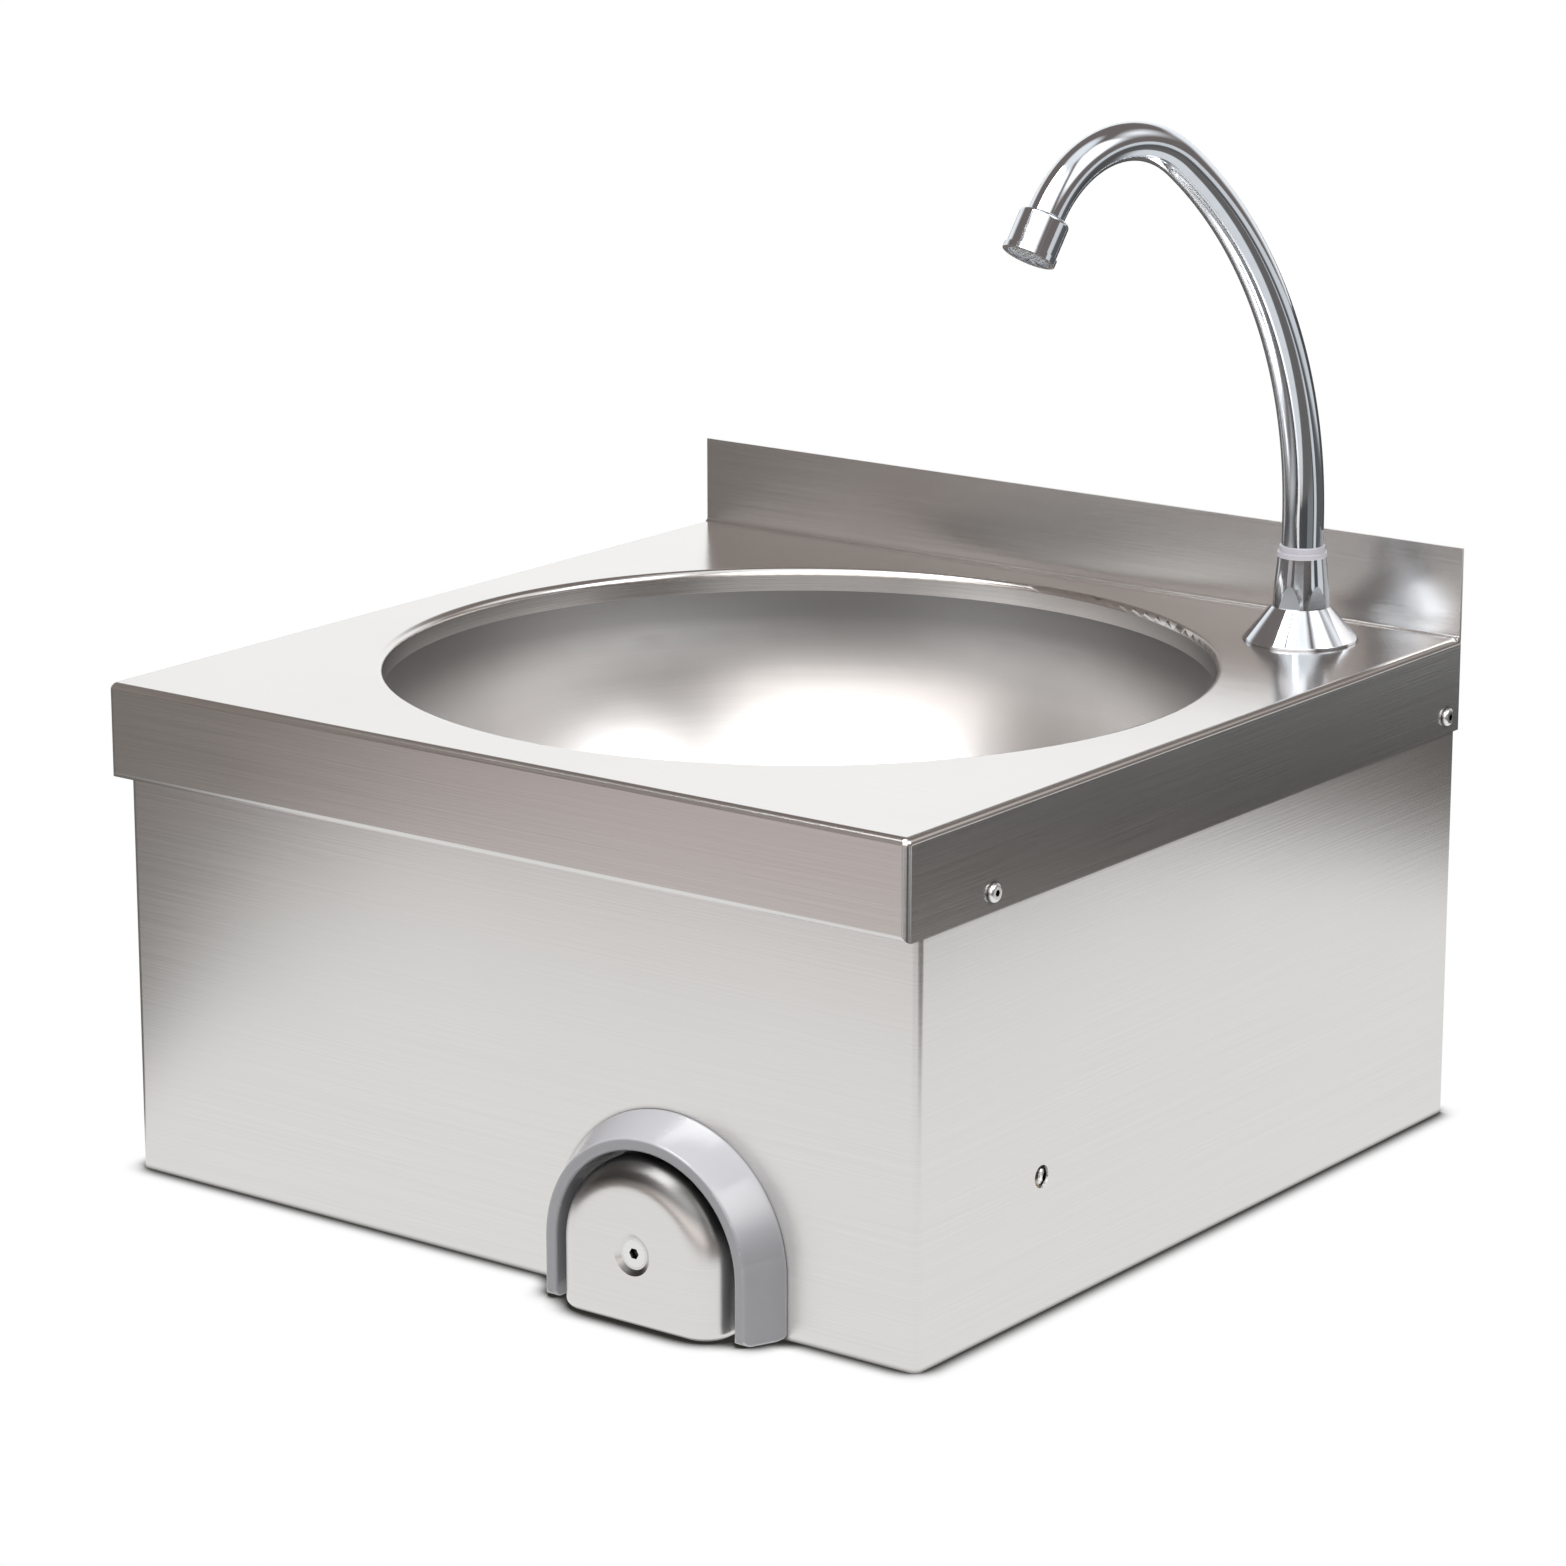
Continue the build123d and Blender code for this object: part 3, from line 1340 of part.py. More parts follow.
with BuildPart() as hose_ferrules:
    for port in (valve_port_plane, tap_port_plane):
        with BuildSketch(port):
            Circle(stub_radius)
        extrude(amount=hose_lead)
        with BuildSketch(port):
            Circle(pipe_collar)
        extrude(amount=pipe_collar_thick)
        with BuildSketch(port.offset(pipe_collar_thick + union_back + slip)):
            Circle(ferrule_radius)
        extrude(amount=hose_lead - pipe_collar_thick - union_back - slip)
        with BuildSketch(port.offset(hose_lead)):
            Circle(ferrule_radius)
            Circle(hose_radius, mode=Mode.SUBTRACT)
            Circle(hose_bore - slip)
        extrude(amount=ferrule_length)
        with BuildSketch(port):
            Circle(stub_bore)
        extrude(amount=hose_lead + ferrule_length, mode=Mode.SUBTRACT)
save(hose_ferrules, "hose_ferrules", steel)

valve_union = union_nuts([valve_port_plane], port_radius, stub_radius)
tap_union = union_nuts([tap_port_plane], shank_radius, stub_radius)
with BuildPart() as hose_nuts:
    add(valve_union.part)
    add(tap_union.part)
save(hose_nuts, "hose_nuts", brass)

# Waste: gasket, perforated strainer, centre screw, lower seal and the waste body with its tail
gasket_thick = 1.5
strainer_radius = 35
strainer_sheet = 1.2
strainer_cup = 25.5
strainer_depth = 12
strainer_hole = 2.4
strainer_row_radii = (17.5, 9.5)
strainer_row_counts = (12, 6)
waste_screw_radius = 3
waste_screw_head = 5.5
waste_head_height = 2.5
waste_screw_length = 22
waste_seal_thick = 2
waste_flange = 36
waste_flange_thick = 3
waste_cup = 31
waste_wall = 3
waste_cone = 4
tail_radius = 20.95
tail_wall = 3
tail_bottom = 12
tail_thread = 26
waste_cup_floor = tail_bottom + tail_thread + waste_cone
bridge_width = 6
bridge_height = 8
seat_under = seat_z - bowl_sheet
gasket_top = seat_z + gasket_thick
strainer_top = gasket_top + strainer_sheet
plate_z = strainer_top - strainer_depth
waste_top = seat_under - waste_seal_thick
bridge_top = plate_z - strainer_sheet - ferrule_gap

with BuildPart() as strainer_gasket:
    with BuildSketch(Plane.XY.offset(seat_z)):
        with Locations((0, bowl_y)):
            Circle(strainer_radius)
            Circle(drain_radius, mode=Mode.SUBTRACT)
    extrude(amount=gasket_thick)
save(strainer_gasket, "strainer_gasket", rubber)

with BuildPart() as strainer:
    with BuildSketch(bowl_plane):
        with BuildLine():
            FilletPolyline(
                (strainer_radius, gasket_top),
                (strainer_cup - strainer_sheet, gasket_top),
                (strainer_cup - strainer_sheet, plate_z - strainer_sheet),
                (0, plate_z - strainer_sheet),
                radius=strainer_sheet,
            )
            offset(amount=strainer_sheet, side=Side.RIGHT)
        make_face()
    revolve(axis=bowl_axis)
    with BuildSketch(Plane.XY.offset(plate_z - overrun)):
        with Locations((0, bowl_y)):
            Circle(waste_screw_radius + slip)
            for row_radius, count in zip(strainer_row_radii, strainer_row_counts):
                with PolarLocations(row_radius, count):
                    Circle(strainer_hole)
    extrude(amount=2 * overrun, mode=Mode.SUBTRACT)
save(strainer, "strainer", steel)

with BuildPart() as strainer_screw:
    with BuildSketch(Plane.XY.offset(plate_z)):
        with Locations((0, bowl_y)):
            Circle(waste_screw_head)
    extrude(amount=waste_head_height)
    with BuildSketch(Plane.XY.offset(plate_z + waste_head_height)):
        with Locations((0, bowl_y)):
            Rectangle(2 * waste_screw_head, strainer_sheet)
    extrude(amount=-waste_head_height / 2, mode=Mode.SUBTRACT)
    with BuildSketch(Plane.XY.offset(plate_z)):
        with Locations((0, bowl_y)):
            Circle(waste_screw_radius)
    extrude(amount=-waste_screw_length)
save(strainer_screw, "strainer_screw", steel)

with BuildPart() as waste_seal:
    with BuildSketch(Plane.XY.offset(waste_top)):
        with Locations((0, bowl_y)):
            Circle(waste_flange)
            Circle(drain_radius, mode=Mode.SUBTRACT)
    extrude(amount=waste_seal_thick)
save(waste_seal, "waste_seal", rubber)

with BuildPart() as waste_body:
    with BuildSketch(bowl_plane):
        Polygon(
            (waste_cup - waste_wall, waste_top),
            (waste_flange, waste_top),
            (waste_flange, waste_top - waste_flange_thick),
            (waste_cup, waste_top - waste_flange_thick),
            (waste_cup, waste_cup_floor),
            (tail_radius + waste_wall, tail_bottom + tail_thread),
            (tail_radius, tail_bottom + tail_thread),
            (tail_radius, tail_bottom),
            (tail_radius - tail_wall, tail_bottom),
            (tail_radius - tail_wall, tail_bottom + tail_thread),
            (waste_cup - waste_wall, waste_cup_floor + waste_wall),
            align=None,
        )
    revolve(axis=bowl_axis)
    with BuildSketch(Plane.XY.offset(bridge_top)):
        with Locations((0, bowl_y)):
            Rectangle(2 * waste_cup - waste_wall, bridge_width)
            Circle(bridge_width)
            Circle(waste_screw_radius + slip, mode=Mode.SUBTRACT)
    extrude(amount=-bridge_height)
save(waste_body, "waste_body", plastic)
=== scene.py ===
# %% [markdown]
# # Hand wash sink worked by the knee
# A small wall-hung basin: a folded top sheet with a pressed round bowl, a three-sided casing, a
# swan-neck spout and a pad that opens the water when a knee pushes it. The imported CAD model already
# holds every solid at its real size. This script loads it as a fixed frame, adds the forms that a
# surface model shows better than a solid, and gives each part its finish, its light and its camera.

import json
import math

import bpy
from mathutils import Matrix, Vector


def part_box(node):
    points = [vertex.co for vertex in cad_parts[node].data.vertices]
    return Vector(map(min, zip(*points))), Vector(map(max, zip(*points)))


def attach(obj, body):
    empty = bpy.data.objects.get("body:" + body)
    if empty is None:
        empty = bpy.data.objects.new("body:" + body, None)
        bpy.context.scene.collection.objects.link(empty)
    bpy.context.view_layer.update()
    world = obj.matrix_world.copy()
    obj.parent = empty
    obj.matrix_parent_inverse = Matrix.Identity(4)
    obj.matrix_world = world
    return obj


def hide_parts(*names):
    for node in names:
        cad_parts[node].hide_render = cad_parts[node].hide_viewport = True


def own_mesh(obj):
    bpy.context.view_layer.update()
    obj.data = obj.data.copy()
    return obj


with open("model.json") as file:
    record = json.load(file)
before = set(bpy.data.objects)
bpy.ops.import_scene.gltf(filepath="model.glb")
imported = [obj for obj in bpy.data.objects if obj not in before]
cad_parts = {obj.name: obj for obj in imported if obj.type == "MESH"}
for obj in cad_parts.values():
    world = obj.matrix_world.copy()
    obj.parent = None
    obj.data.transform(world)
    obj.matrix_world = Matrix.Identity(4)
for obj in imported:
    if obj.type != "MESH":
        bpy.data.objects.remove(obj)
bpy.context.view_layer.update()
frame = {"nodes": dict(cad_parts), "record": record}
cad_nodes = frame["nodes"]
mm = 0.001
print("solids loaded:", len(cad_nodes))


# %% [markdown]
# ## Building node trees with few words
# Materials and Geometry Nodes are both trees: boxes with inputs, joined by links. Making them by hand
# in a script is long, so one small helper adds a node, sets its properties and fills its inputs. An
# input that is given another node's output becomes a link, and one that is given a number becomes a
# plain value. The short functions after it stand for the nodes that come back again and again.

# %% Helpers for node trees
def put(tree, kind, inputs=None, **settings):
    """Add one node, set its properties and fill its inputs with values or with outputs of other nodes."""
    made = tree.nodes.new(kind)
    for key, value in settings.items():
        setattr(made, key, value)
    for key, value in (inputs or {}).items():
        if isinstance(value, bpy.types.NodeSocket):
            tree.links.new(value, made.inputs[key])
        else:
            made.inputs[key].default_value = value
    return made


def maths(tree, operation, first, second=0.0, third=0.0):
    """Output of one Math node."""
    return put(tree, "ShaderNodeMath", {0: first, 1: second, 2: third}, operation=operation).outputs[0]


def vector_maths(tree, operation, first, second=(0.0, 0.0, 0.0)):
    """Vector output of one Vector Math node."""
    return put(tree, "ShaderNodeVectorMath", {0: first, 1: second}, operation=operation).outputs["Vector"]


def length_of(tree, first):
    """Length of a vector."""
    return put(tree, "ShaderNodeVectorMath", {0: first}, operation="LENGTH").outputs["Value"]


def dot(tree, first, second):
    """Dot product of two vectors."""
    return put(tree, "ShaderNodeVectorMath", {0: first, 1: second}, operation="DOT_PRODUCT").outputs["Value"]


def vector(tree, x=0.0, y=0.0, z=0.0):
    """Vector made of three numbers."""
    return put(tree, "ShaderNodeCombineXYZ", {0: x, 1: y, 2: z}).outputs[0]


def parts_of(tree, whole):
    """The X, Y and Z outputs of a vector."""
    return put(tree, "ShaderNodeSeparateXYZ", {0: whole}).outputs


# %% Helpers for values, colours and groups
def remap(tree, value, low, high, new_low=0.0, new_high=1.0):
    """Stretch a value from one span to another with a soft start and end, and hold it inside."""
    inputs = {"Value": value, "From Min": low, "From Max": high, "To Min": new_low, "To Max": new_high}
    return put(tree, "ShaderNodeMapRange", inputs, interpolation_type="SMOOTHSTEP").outputs["Result"]


def stepped(tree, value, low, high):
    """Share of the way from low to high in a straight line, held between zero and one."""
    inputs = {"Value": value, "From Min": low, "From Max": high}
    return put(tree, "ShaderNodeMapRange", inputs, interpolation_type="LINEAR").outputs["Result"]


def mixed(tree, factor, first, second):
    """Blend of two colours by a factor."""
    return put(tree, "ShaderNodeMix", {0: factor, 6: first, 7: second}, data_type="RGBA").outputs[2]


def noise(tree, place, scale, detail, **inputs):
    """Noise from zero to one."""
    inputs = {"Vector": place, "Scale": scale, "Detail": detail, **inputs}
    return put(tree, "ShaderNodeTexNoise", inputs).outputs["Fac"]


def normal_of(tree):
    """The normal of the surface, as the world sees it."""
    return put(tree, "ShaderNodeNewGeometry").outputs["Normal"]


def new_group(name, kind, sockets):
    """Node group with its sockets: each is (name, IN or OUT, socket type, default)."""
    group = bpy.data.node_groups.new(name, kind)
    for label, way, sort, default in sockets:
        side = "INPUT" if way == "IN" else "OUTPUT"
        socket = group.interface.new_socket(label, in_out=side, socket_type=sort)
        if default is not None:
            socket.default_value = default
    return group


# %% [markdown]
# ## Brushed sheet
# Sheet steel is finished with an abrasive belt, which leaves fine parallel scratches. On the sheets of
# this basin they run level along the panels, and from left to right on the deck. A noise texture that
# is squeezed hard in one direction gives such lines. Which direction depends on how the face lies, so
# the group looks at the face's normal: level lines on upright faces, lines along X on flat ones.

# %% Shader group: level brush lines
FLOAT = "NodeSocketFloat"
VECTOR = "NodeSocketVector"


def brush_group():
    """Brush lines on flat and upright sheet, with a slow cloud of uneven pressure."""
    group = new_group("brush lines", "ShaderNodeTree", [
        ("Place", "IN", VECTOR, None),
        ("Fineness", "IN", FLOAT, 900.0),
        ("Length", "IN", FLOAT, 9.0),
        ("Lines", "OUT", FLOAT, None),
        ("Cloud", "OUT", FLOAT, None),
    ])
    start = put(group, "NodeGroupInput")
    place, fine, long = (start.outputs[n] for n in ("Place", "Fineness", "Length"))
    upright = vector(group, long, long, fine)
    level = vector(group, long, fine, long)
    tilt = parts_of(group, normal_of(group))["Z"]
    flat = maths(group, "GREATER_THAN", maths(group, "ABSOLUTE", tilt), 0.7)
    scale = put(group, "ShaderNodeMix", {"Factor": flat, 4: upright, 5: level}, data_type="VECTOR").outputs[1]
    lines = noise(group, vector_maths(group, "MULTIPLY", place, scale), 1.0, 3.0, Roughness=0.65)
    put(group, "NodeGroupOutput", {"Lines": lines, "Cloud": noise(group, place, 7.0, 2.0)})
    return group


brush_lines = brush_group()
print("group:", brush_lines.name, [s.name for s in brush_lines.interface.items_tree])


# %% [markdown]
# ## Turned and spun surfaces
# The bowl is polished on a wheel while it turns, and the brass parts are turned on a lathe, so their
# scratches run in rings. The same squeezed noise works if it is given a radius and a height instead of
# X, Y and Z. The angle goes in as a sine and a cosine, because the angle itself jumps where the circle
# closes.

# %% Shader group: rings round an upright axis
def ring_group():
    """Fine rings round an upright axis that stands at Centre."""
    group = new_group("ring lines", "ShaderNodeTree", [
        ("Place", "IN", VECTOR, None),
        ("Centre", "IN", VECTOR, (0.0, 0.0, 0.0)),
        ("Fineness", "IN", FLOAT, 900.0),
        ("Lines", "OUT", FLOAT, None),
    ])
    start = put(group, "NodeGroupInput")
    away = parts_of(group, vector_maths(group, "SUBTRACT", start.outputs["Place"], start.outputs["Centre"]))
    flat = vector(group, away["X"], away["Y"])
    around = parts_of(group, vector_maths(group, "NORMALIZE", flat))
    along = maths(group, "ADD", length_of(group, flat), away["Z"])
    depth = maths(group, "MULTIPLY", along, start.outputs["Fineness"])
    ring = vector(group, around["X"], around["Y"], depth)
    put(group, "NodeGroupOutput", {"Lines": noise(group, ring, 1.0, 3.0, Roughness=0.6)})
    return group


ring_lines = ring_group()
print("group:", ring_lines.name)


# %% [markdown]
# ## Edges that catch the light
# A folded or cut edge is never perfectly sharp, and handling polishes it. The materials paint a thin bright
# line there, which is partly that worn edge and partly a painted highlight. The Bevel node returns the normal
# that a rounded edge would have. Where it differs from the true normal there is an edge, and that difference
# is the mask.

# %% Shader group: edge line
def edge_group():
    """Mask that is one on edges and fades over Width."""
    group = new_group("edge line", "ShaderNodeTree", [
        ("Width", "IN", FLOAT, 0.0008),
        ("Edge", "OUT", FLOAT, None),
    ])
    start = put(group, "NodeGroupInput")
    soft = put(group, "ShaderNodeBevel", {"Radius": start.outputs["Width"]}, samples=4).outputs[0]
    same = dot(group, soft, normal_of(group))
    put(group, "NodeGroupOutput", {"Edge": remap(group, same, 0.985, 0.86)})
    return group


edge_line = edge_group()
print("group:", edge_line.name)


# %% [markdown]
# ## Gaps and sockets
# Light hardly reaches the bottom of a screw's socket or the gap round its head, so the materials paint shade
# there. Ambient Occlusion tells how much a point can see within a short distance.

# %% Shader group: gap shade
def gap_group():
    """One in the open, falling to zero in gaps and sockets that are about Reach wide."""
    group = new_group("gap shade", "ShaderNodeTree", [
        ("Reach", "IN", FLOAT, 0.003),
        ("Open", "OUT", FLOAT, None),
    ])
    start = put(group, "NodeGroupInput")
    reach = {"Distance": start.outputs["Reach"]}
    seen = put(group, "ShaderNodeAmbientOcclusion", reach, samples=8).outputs["AO"]
    put(group, "NodeGroupOutput", {"Open": remap(group, seen, 0.4, 0.95)})
    return group


gap_shade = gap_group()
print("group:", gap_shade.name)


# %% [markdown]
# ## Smudges
# Even a clean basin carries a faint film of wiped water and finger marks. It changes the gloss more
# than the colour. A noise that is bent by itself looks less regular than a plain one.

# %% Shader group: smudges
def smudge_group():
    """Uneven film on a polished surface, from zero to one."""
    group = new_group("smudges", "ShaderNodeTree", [
        ("Place", "IN", VECTOR, None),
        ("Size", "IN", FLOAT, 30.0),
        ("Film", "OUT", FLOAT, None),
    ])
    start = put(group, "NodeGroupInput").outputs
    film = noise(group, start["Place"], start["Size"], 4.0, Distortion=0.8)
    put(group, "NodeGroupOutput", {"Film": remap(group, film, 0.35, 0.75)})
    return group


smudges = smudge_group()
print("group:", smudges.name)


# %% [markdown]
# ## Metal finishes
# Every metal here is a Principled BSDF with Metallic at one. Its colour is the colour of the
# reflection, and its roughness says how far the reflection spreads. The groups above vary both a
# little, and a faint bump gives the grain a grip on the light. Anisotropy stretches highlights across
# the brush lines, as real belts do.
#
# Three settings stand for things that are too slight to model, and their amounts were found one by one. Thin
# sheet is never quite flat, so Lean tips the normal of upright faces up a little. Crown shade is painted
# shade: it darkens what faces upward, for the pad's pressed shoulder, which mirrors the dark gap under its
# collar. Blur makes the front faces a little duller.

# %% Start of every material
# Pale colour of worn edges, mixed in also as a painted highlight.
WORN_EDGE_HIGHLIGHT = (0.95, 0.95, 0.94, 1.0)
# Painted shade in gaps and folds of the sheet.
GAP_SHADE_COLOUR = (0.12, 0.115, 0.11, 1.0)
# Painted shade on the pad's upward faces.
CROWN_SHADE_COLOUR = (0.03, 0.03, 0.03, 1.0)
finishes = {}


def start_material(name):
    """Empty material with its shader and the place on the object."""
    material = bpy.data.materials.new(name)
    material.use_nodes = True
    tree = material.node_tree
    tree.nodes.clear()
    shader = put(tree, "ShaderNodeBsdfPrincipled")
    put(tree, "ShaderNodeOutputMaterial", {"Surface": shader.outputs[0]})
    finishes[name] = material
    return tree, shader, put(tree, "ShaderNodeTexCoord").outputs["Object"]


def grouped(tree, group, **inputs):
    """Outputs of one use of a shader group."""
    return put(tree, "ShaderNodeGroup", inputs, node_tree=group).outputs


def finish_shader(tree, shader, tone, rough, height, strength, distance):
    """Give the shader its colour, its roughness and its bump."""
    tree.links.new(tone, shader.inputs["Base Color"])
    tree.links.new(rough, shader.inputs["Roughness"])
    relief = {"Strength": strength, "Distance": distance, "Height": height}
    bump = put(tree, "ShaderNodeBump", relief).outputs[0]
    tree.links.new(bump, shader.inputs["Normal"])
    return bump


# %% Sheet steel
def sheet_steel(name, light, dark, gloss, rougher, fineness, stretch, lean=(0.0, 0.0), crown_shade=0.0, blur=0.0):
    """Brushed sheet: two tones along the lines, painted shade in gaps and on upward faces, worn edges that
    also paint a highlight, and a fine bump.
    """
    tree, shader, place = start_material(name)
    brushed = grouped(tree, brush_lines, Place=place, Fineness=fineness, Length=9.0)
    lines = remap(tree, brushed["Lines"], 0.3, 0.7)
    tone = mixed(tree, lines, dark, light)
    # Worn edges that also paint a highlight: the tone turns pale along edges.
    edge = grouped(tree, edge_line, Width=0.8 * mm)["Edge"]
    tone = mixed(tree, maths(tree, "MULTIPLY", edge, 0.6), tone, WORN_EDGE_HIGHLIGHT)
    # Painted shade: the tone darkens in gaps and folds.
    tone = mixed(tree, grouped(tree, gap_shade, Reach=2.5 * mm)["Open"], GAP_SHADE_COLOUR, tone)
    outward = parts_of(tree, normal_of(tree))
    # Painted shade: faces that look up darken, for the dark gap that the pad's shoulder mirrors.
    crown_shade_mask = maths(tree, "MULTIPLY", remap(tree, outward["Z"], 0.12, 0.5), crown_shade)
    tone = mixed(tree, crown_shade_mask, tone, CROWN_SHADE_COLOUR)
    rough = maths(tree, "MULTIPLY_ADD", lines, rougher - gloss, gloss)
    uneven = maths(tree, "SUBTRACT", brushed["Cloud"], 0.5)
    rough = maths(tree, "MULTIPLY_ADD", uneven, 0.08, rough)
    facing_front = remap(tree, outward["Y"], -0.6, -0.9)
    rough = maths(tree, "MULTIPLY_ADD", facing_front, blur, rough)
    bump = finish_shader(tree, shader, tone, rough, lines, 0.035, 0.2 * mm)
    sideways = maths(tree, "ABSOLUTE", parts_of(tree, bump)["X"])
    upward = vector(tree, z=maths(tree, "MULTIPLY_ADD", sideways, lean[1] - lean[0], lean[0]))
    leaning = vector_maths(tree, "NORMALIZE", vector_maths(tree, "ADD", bump, upward))
    tree.links.new(leaning, shader.inputs["Normal"])
    shader.inputs["Metallic"].default_value = 1.0
    shader.inputs["Anisotropic"].default_value = stretch
    tangent = put(tree, "ShaderNodeTangent", direction_type="RADIAL", axis="Z")
    tree.links.new(tangent.outputs[0], shader.inputs["Tangent"])


sheet_steel(
    "basin_steel", (0.82, 0.81, 0.80, 1), (0.78, 0.77, 0.76, 1), 0.15, 0.18, 2200.0, 0.4,
    lean=(0.035, 0.085), blur=0.07,
)
sheet_steel("casing_steel", (0.84, 0.83, 0.82, 1), (0.80, 0.79, 0.78, 1), 0.22, 0.25, 2200.0, 0.4)
sheet_steel("pad_steel", (0.84, 0.83, 0.82, 1), (0.80, 0.79, 0.78, 1), 0.28, 0.32, 2200.0, 0.3, crown_shade=0.85)
sheet_steel("bracket_steel", (0.70, 0.70, 0.70, 1), (0.64, 0.64, 0.64, 1), 0.36, 0.42, 1500.0, 0.3)
print("sheet finishes:", sorted(finishes))


# %% [markdown]
# ## Turned and spun metal
# Screws, brass bodies, the pipe and the bowl share one recipe: rings instead of level lines, a thin film, and
# edges that handling has brightened, which also paint a highlight there. The bowl has two more traits. Its
# upper wall looks much darker than its floor, so painted shade lowers the tone between two heights, and it
# carries hardly any film. A screw's socket is darkened by painted shade from the gap group.

# %% Turned metal
def turned_metal(name, light, dark, gloss, rougher, centre, fineness, wall=None, wiped=0.05, socket=None):
    """Turned or spun metal with rings, a thin film, worn edges that also paint a highlight, and painted shade
    in sockets and on the bowl's wall; wall is (height, height, painted shade at the upper one).
    """
    tree, shader, place = start_material(name)
    rings = grouped(tree, ring_lines, Place=place, Centre=centre, Fineness=fineness)["Lines"]
    film = grouped(tree, smudges, Place=place, Size=40.0)["Film"]
    edge = grouped(tree, edge_line, Width=0.4 * mm)["Edge"]
    lines = remap(tree, rings, 0.3, 0.7)
    # Worn edges that also paint a highlight: the tone turns pale along edges.
    tone = mixed(tree, maths(tree, "MULTIPLY", edge, 0.4), mixed(tree, lines, dark, light), WORN_EDGE_HIGHLIGHT)
    if socket:
        # Painted shade in the screw's socket and the gap round its head.
        tone = mixed(tree, grouped(tree, gap_shade, Reach=socket)["Open"], (0.02, 0.02, 0.02, 1.0), tone)
    if wall:
        # Painted shade: the tone falls between the two heights of the bowl's wall.
        drawn = remap(tree, parts_of(tree, place)["Z"], wall[0], wall[1], 1.0, wall[2])
        tone = vector_maths(tree, "MULTIPLY", tone, vector(tree, drawn, drawn, drawn))
    rough = maths(tree, "MULTIPLY_ADD", lines, rougher - gloss, gloss)
    rough = maths(tree, "MULTIPLY_ADD", film, wiped, rough)
    finish_shader(tree, shader, tone, rough, lines, 0.05, 0.1 * mm)
    shader.inputs["Metallic"].default_value = 1.0


bowl_centre = (0.0, 9.5 * mm, 0.0)
tap_centre = (147.0 * mm, 164.7 * mm, 0.0)
knee_centre = (82.3 * mm, 0.0, 0.0)
valve_centre = (120.0 * mm, -100.0 * mm, 0.0)
# Heights and amount of the painted shade on the bowl's upper wall.
bowl_wall_shade = (156.0 * mm, 192.0 * mm, 0.3)
turned_metal(
    "bowl_steel", (0.82, 0.815, 0.81, 1), (0.79, 0.785, 0.78, 1), 0.32, 0.34, bowl_centre, 2600.0,
    wall=bowl_wall_shade, wiped=0.01,
)
turned_metal("strainer_steel", (0.8, 0.8, 0.79, 1), (0.7, 0.7, 0.69, 1), 0.14, 0.22, bowl_centre, 1200.0)
turned_metal(
    "screw_steel", (0.92, 0.92, 0.92, 1), (0.86, 0.86, 0.86, 1), 0.2, 0.26, knee_centre, 1500.0,
    socket=3.5 * mm,
)
turned_metal("spring_steel", (0.66, 0.66, 0.67, 1), (0.55, 0.55, 0.56, 1), 0.22, 0.3, knee_centre, 1500.0)
turned_metal("pipe_steel", (0.74, 0.73, 0.72, 1), (0.66, 0.65, 0.64, 1), 0.2, 0.28, knee_centre, 900.0)
turned_metal("brass", (0.83, 0.66, 0.36, 1), (0.68, 0.52, 0.27, 1), 0.24, 0.36, valve_centre, 900.0)
turned_metal("hose_braid", (0.74, 0.74, 0.74, 1), (0.6, 0.6, 0.6, 1), 0.28, 0.38, tap_centre, 900.0)
print("finishes:", len(finishes))


# %% [markdown]
# ## Chromium plate
# The tap is brass that is ground, buffed and plated with nickel and chromium. Buffing takes every line
# out, so plate has no grain: only a faint orange peel, a thin uneven film, and a bluish tone of its
# own.

# %% Plated metal
def plated_metal(name, light, dark, gloss, rougher):
    """Polished and chromium-plated metal: no grain, only a thin uneven film and a painted highlight on the
    edges.
    """
    tree, shader, place = start_material(name)
    film = grouped(tree, smudges, Place=place, Size=90.0)["Film"]
    edge = grouped(tree, edge_line, Width=0.4 * mm)["Edge"]
    tone = mixed(tree, film, light, dark)
    # Painted highlight: the tone turns pale along edges.
    tone = mixed(tree, maths(tree, "MULTIPLY", edge, 0.5), tone, (0.95, 0.95, 0.96, 1.0))
    rough = maths(tree, "MULTIPLY_ADD", film, rougher - gloss, gloss)
    finish_shader(tree, shader, tone, rough, noise(tree, place, 250.0, 2.0), 0.02, 0.2 * mm)
    shader.inputs["Metallic"].default_value = 1.0


plated_metal("tap_chrome", (0.72, 0.765, 0.82, 1), (0.68, 0.725, 0.78, 1), 0.06, 0.09)
print("finishes:", len(finishes))


# %% [markdown]
# ## Plastic and rubber
# Moulded parts have no grain, but the mould leaves a very fine orange peel and slightly paler edges, which
# the material also strengthens into a painted highlight. Their Metallic stays at zero, and the colour is the
# colour of the stuff itself. The knee collar is a glossy moulding, and its upper faces get painted light from
# above that makes them paler than the rest.

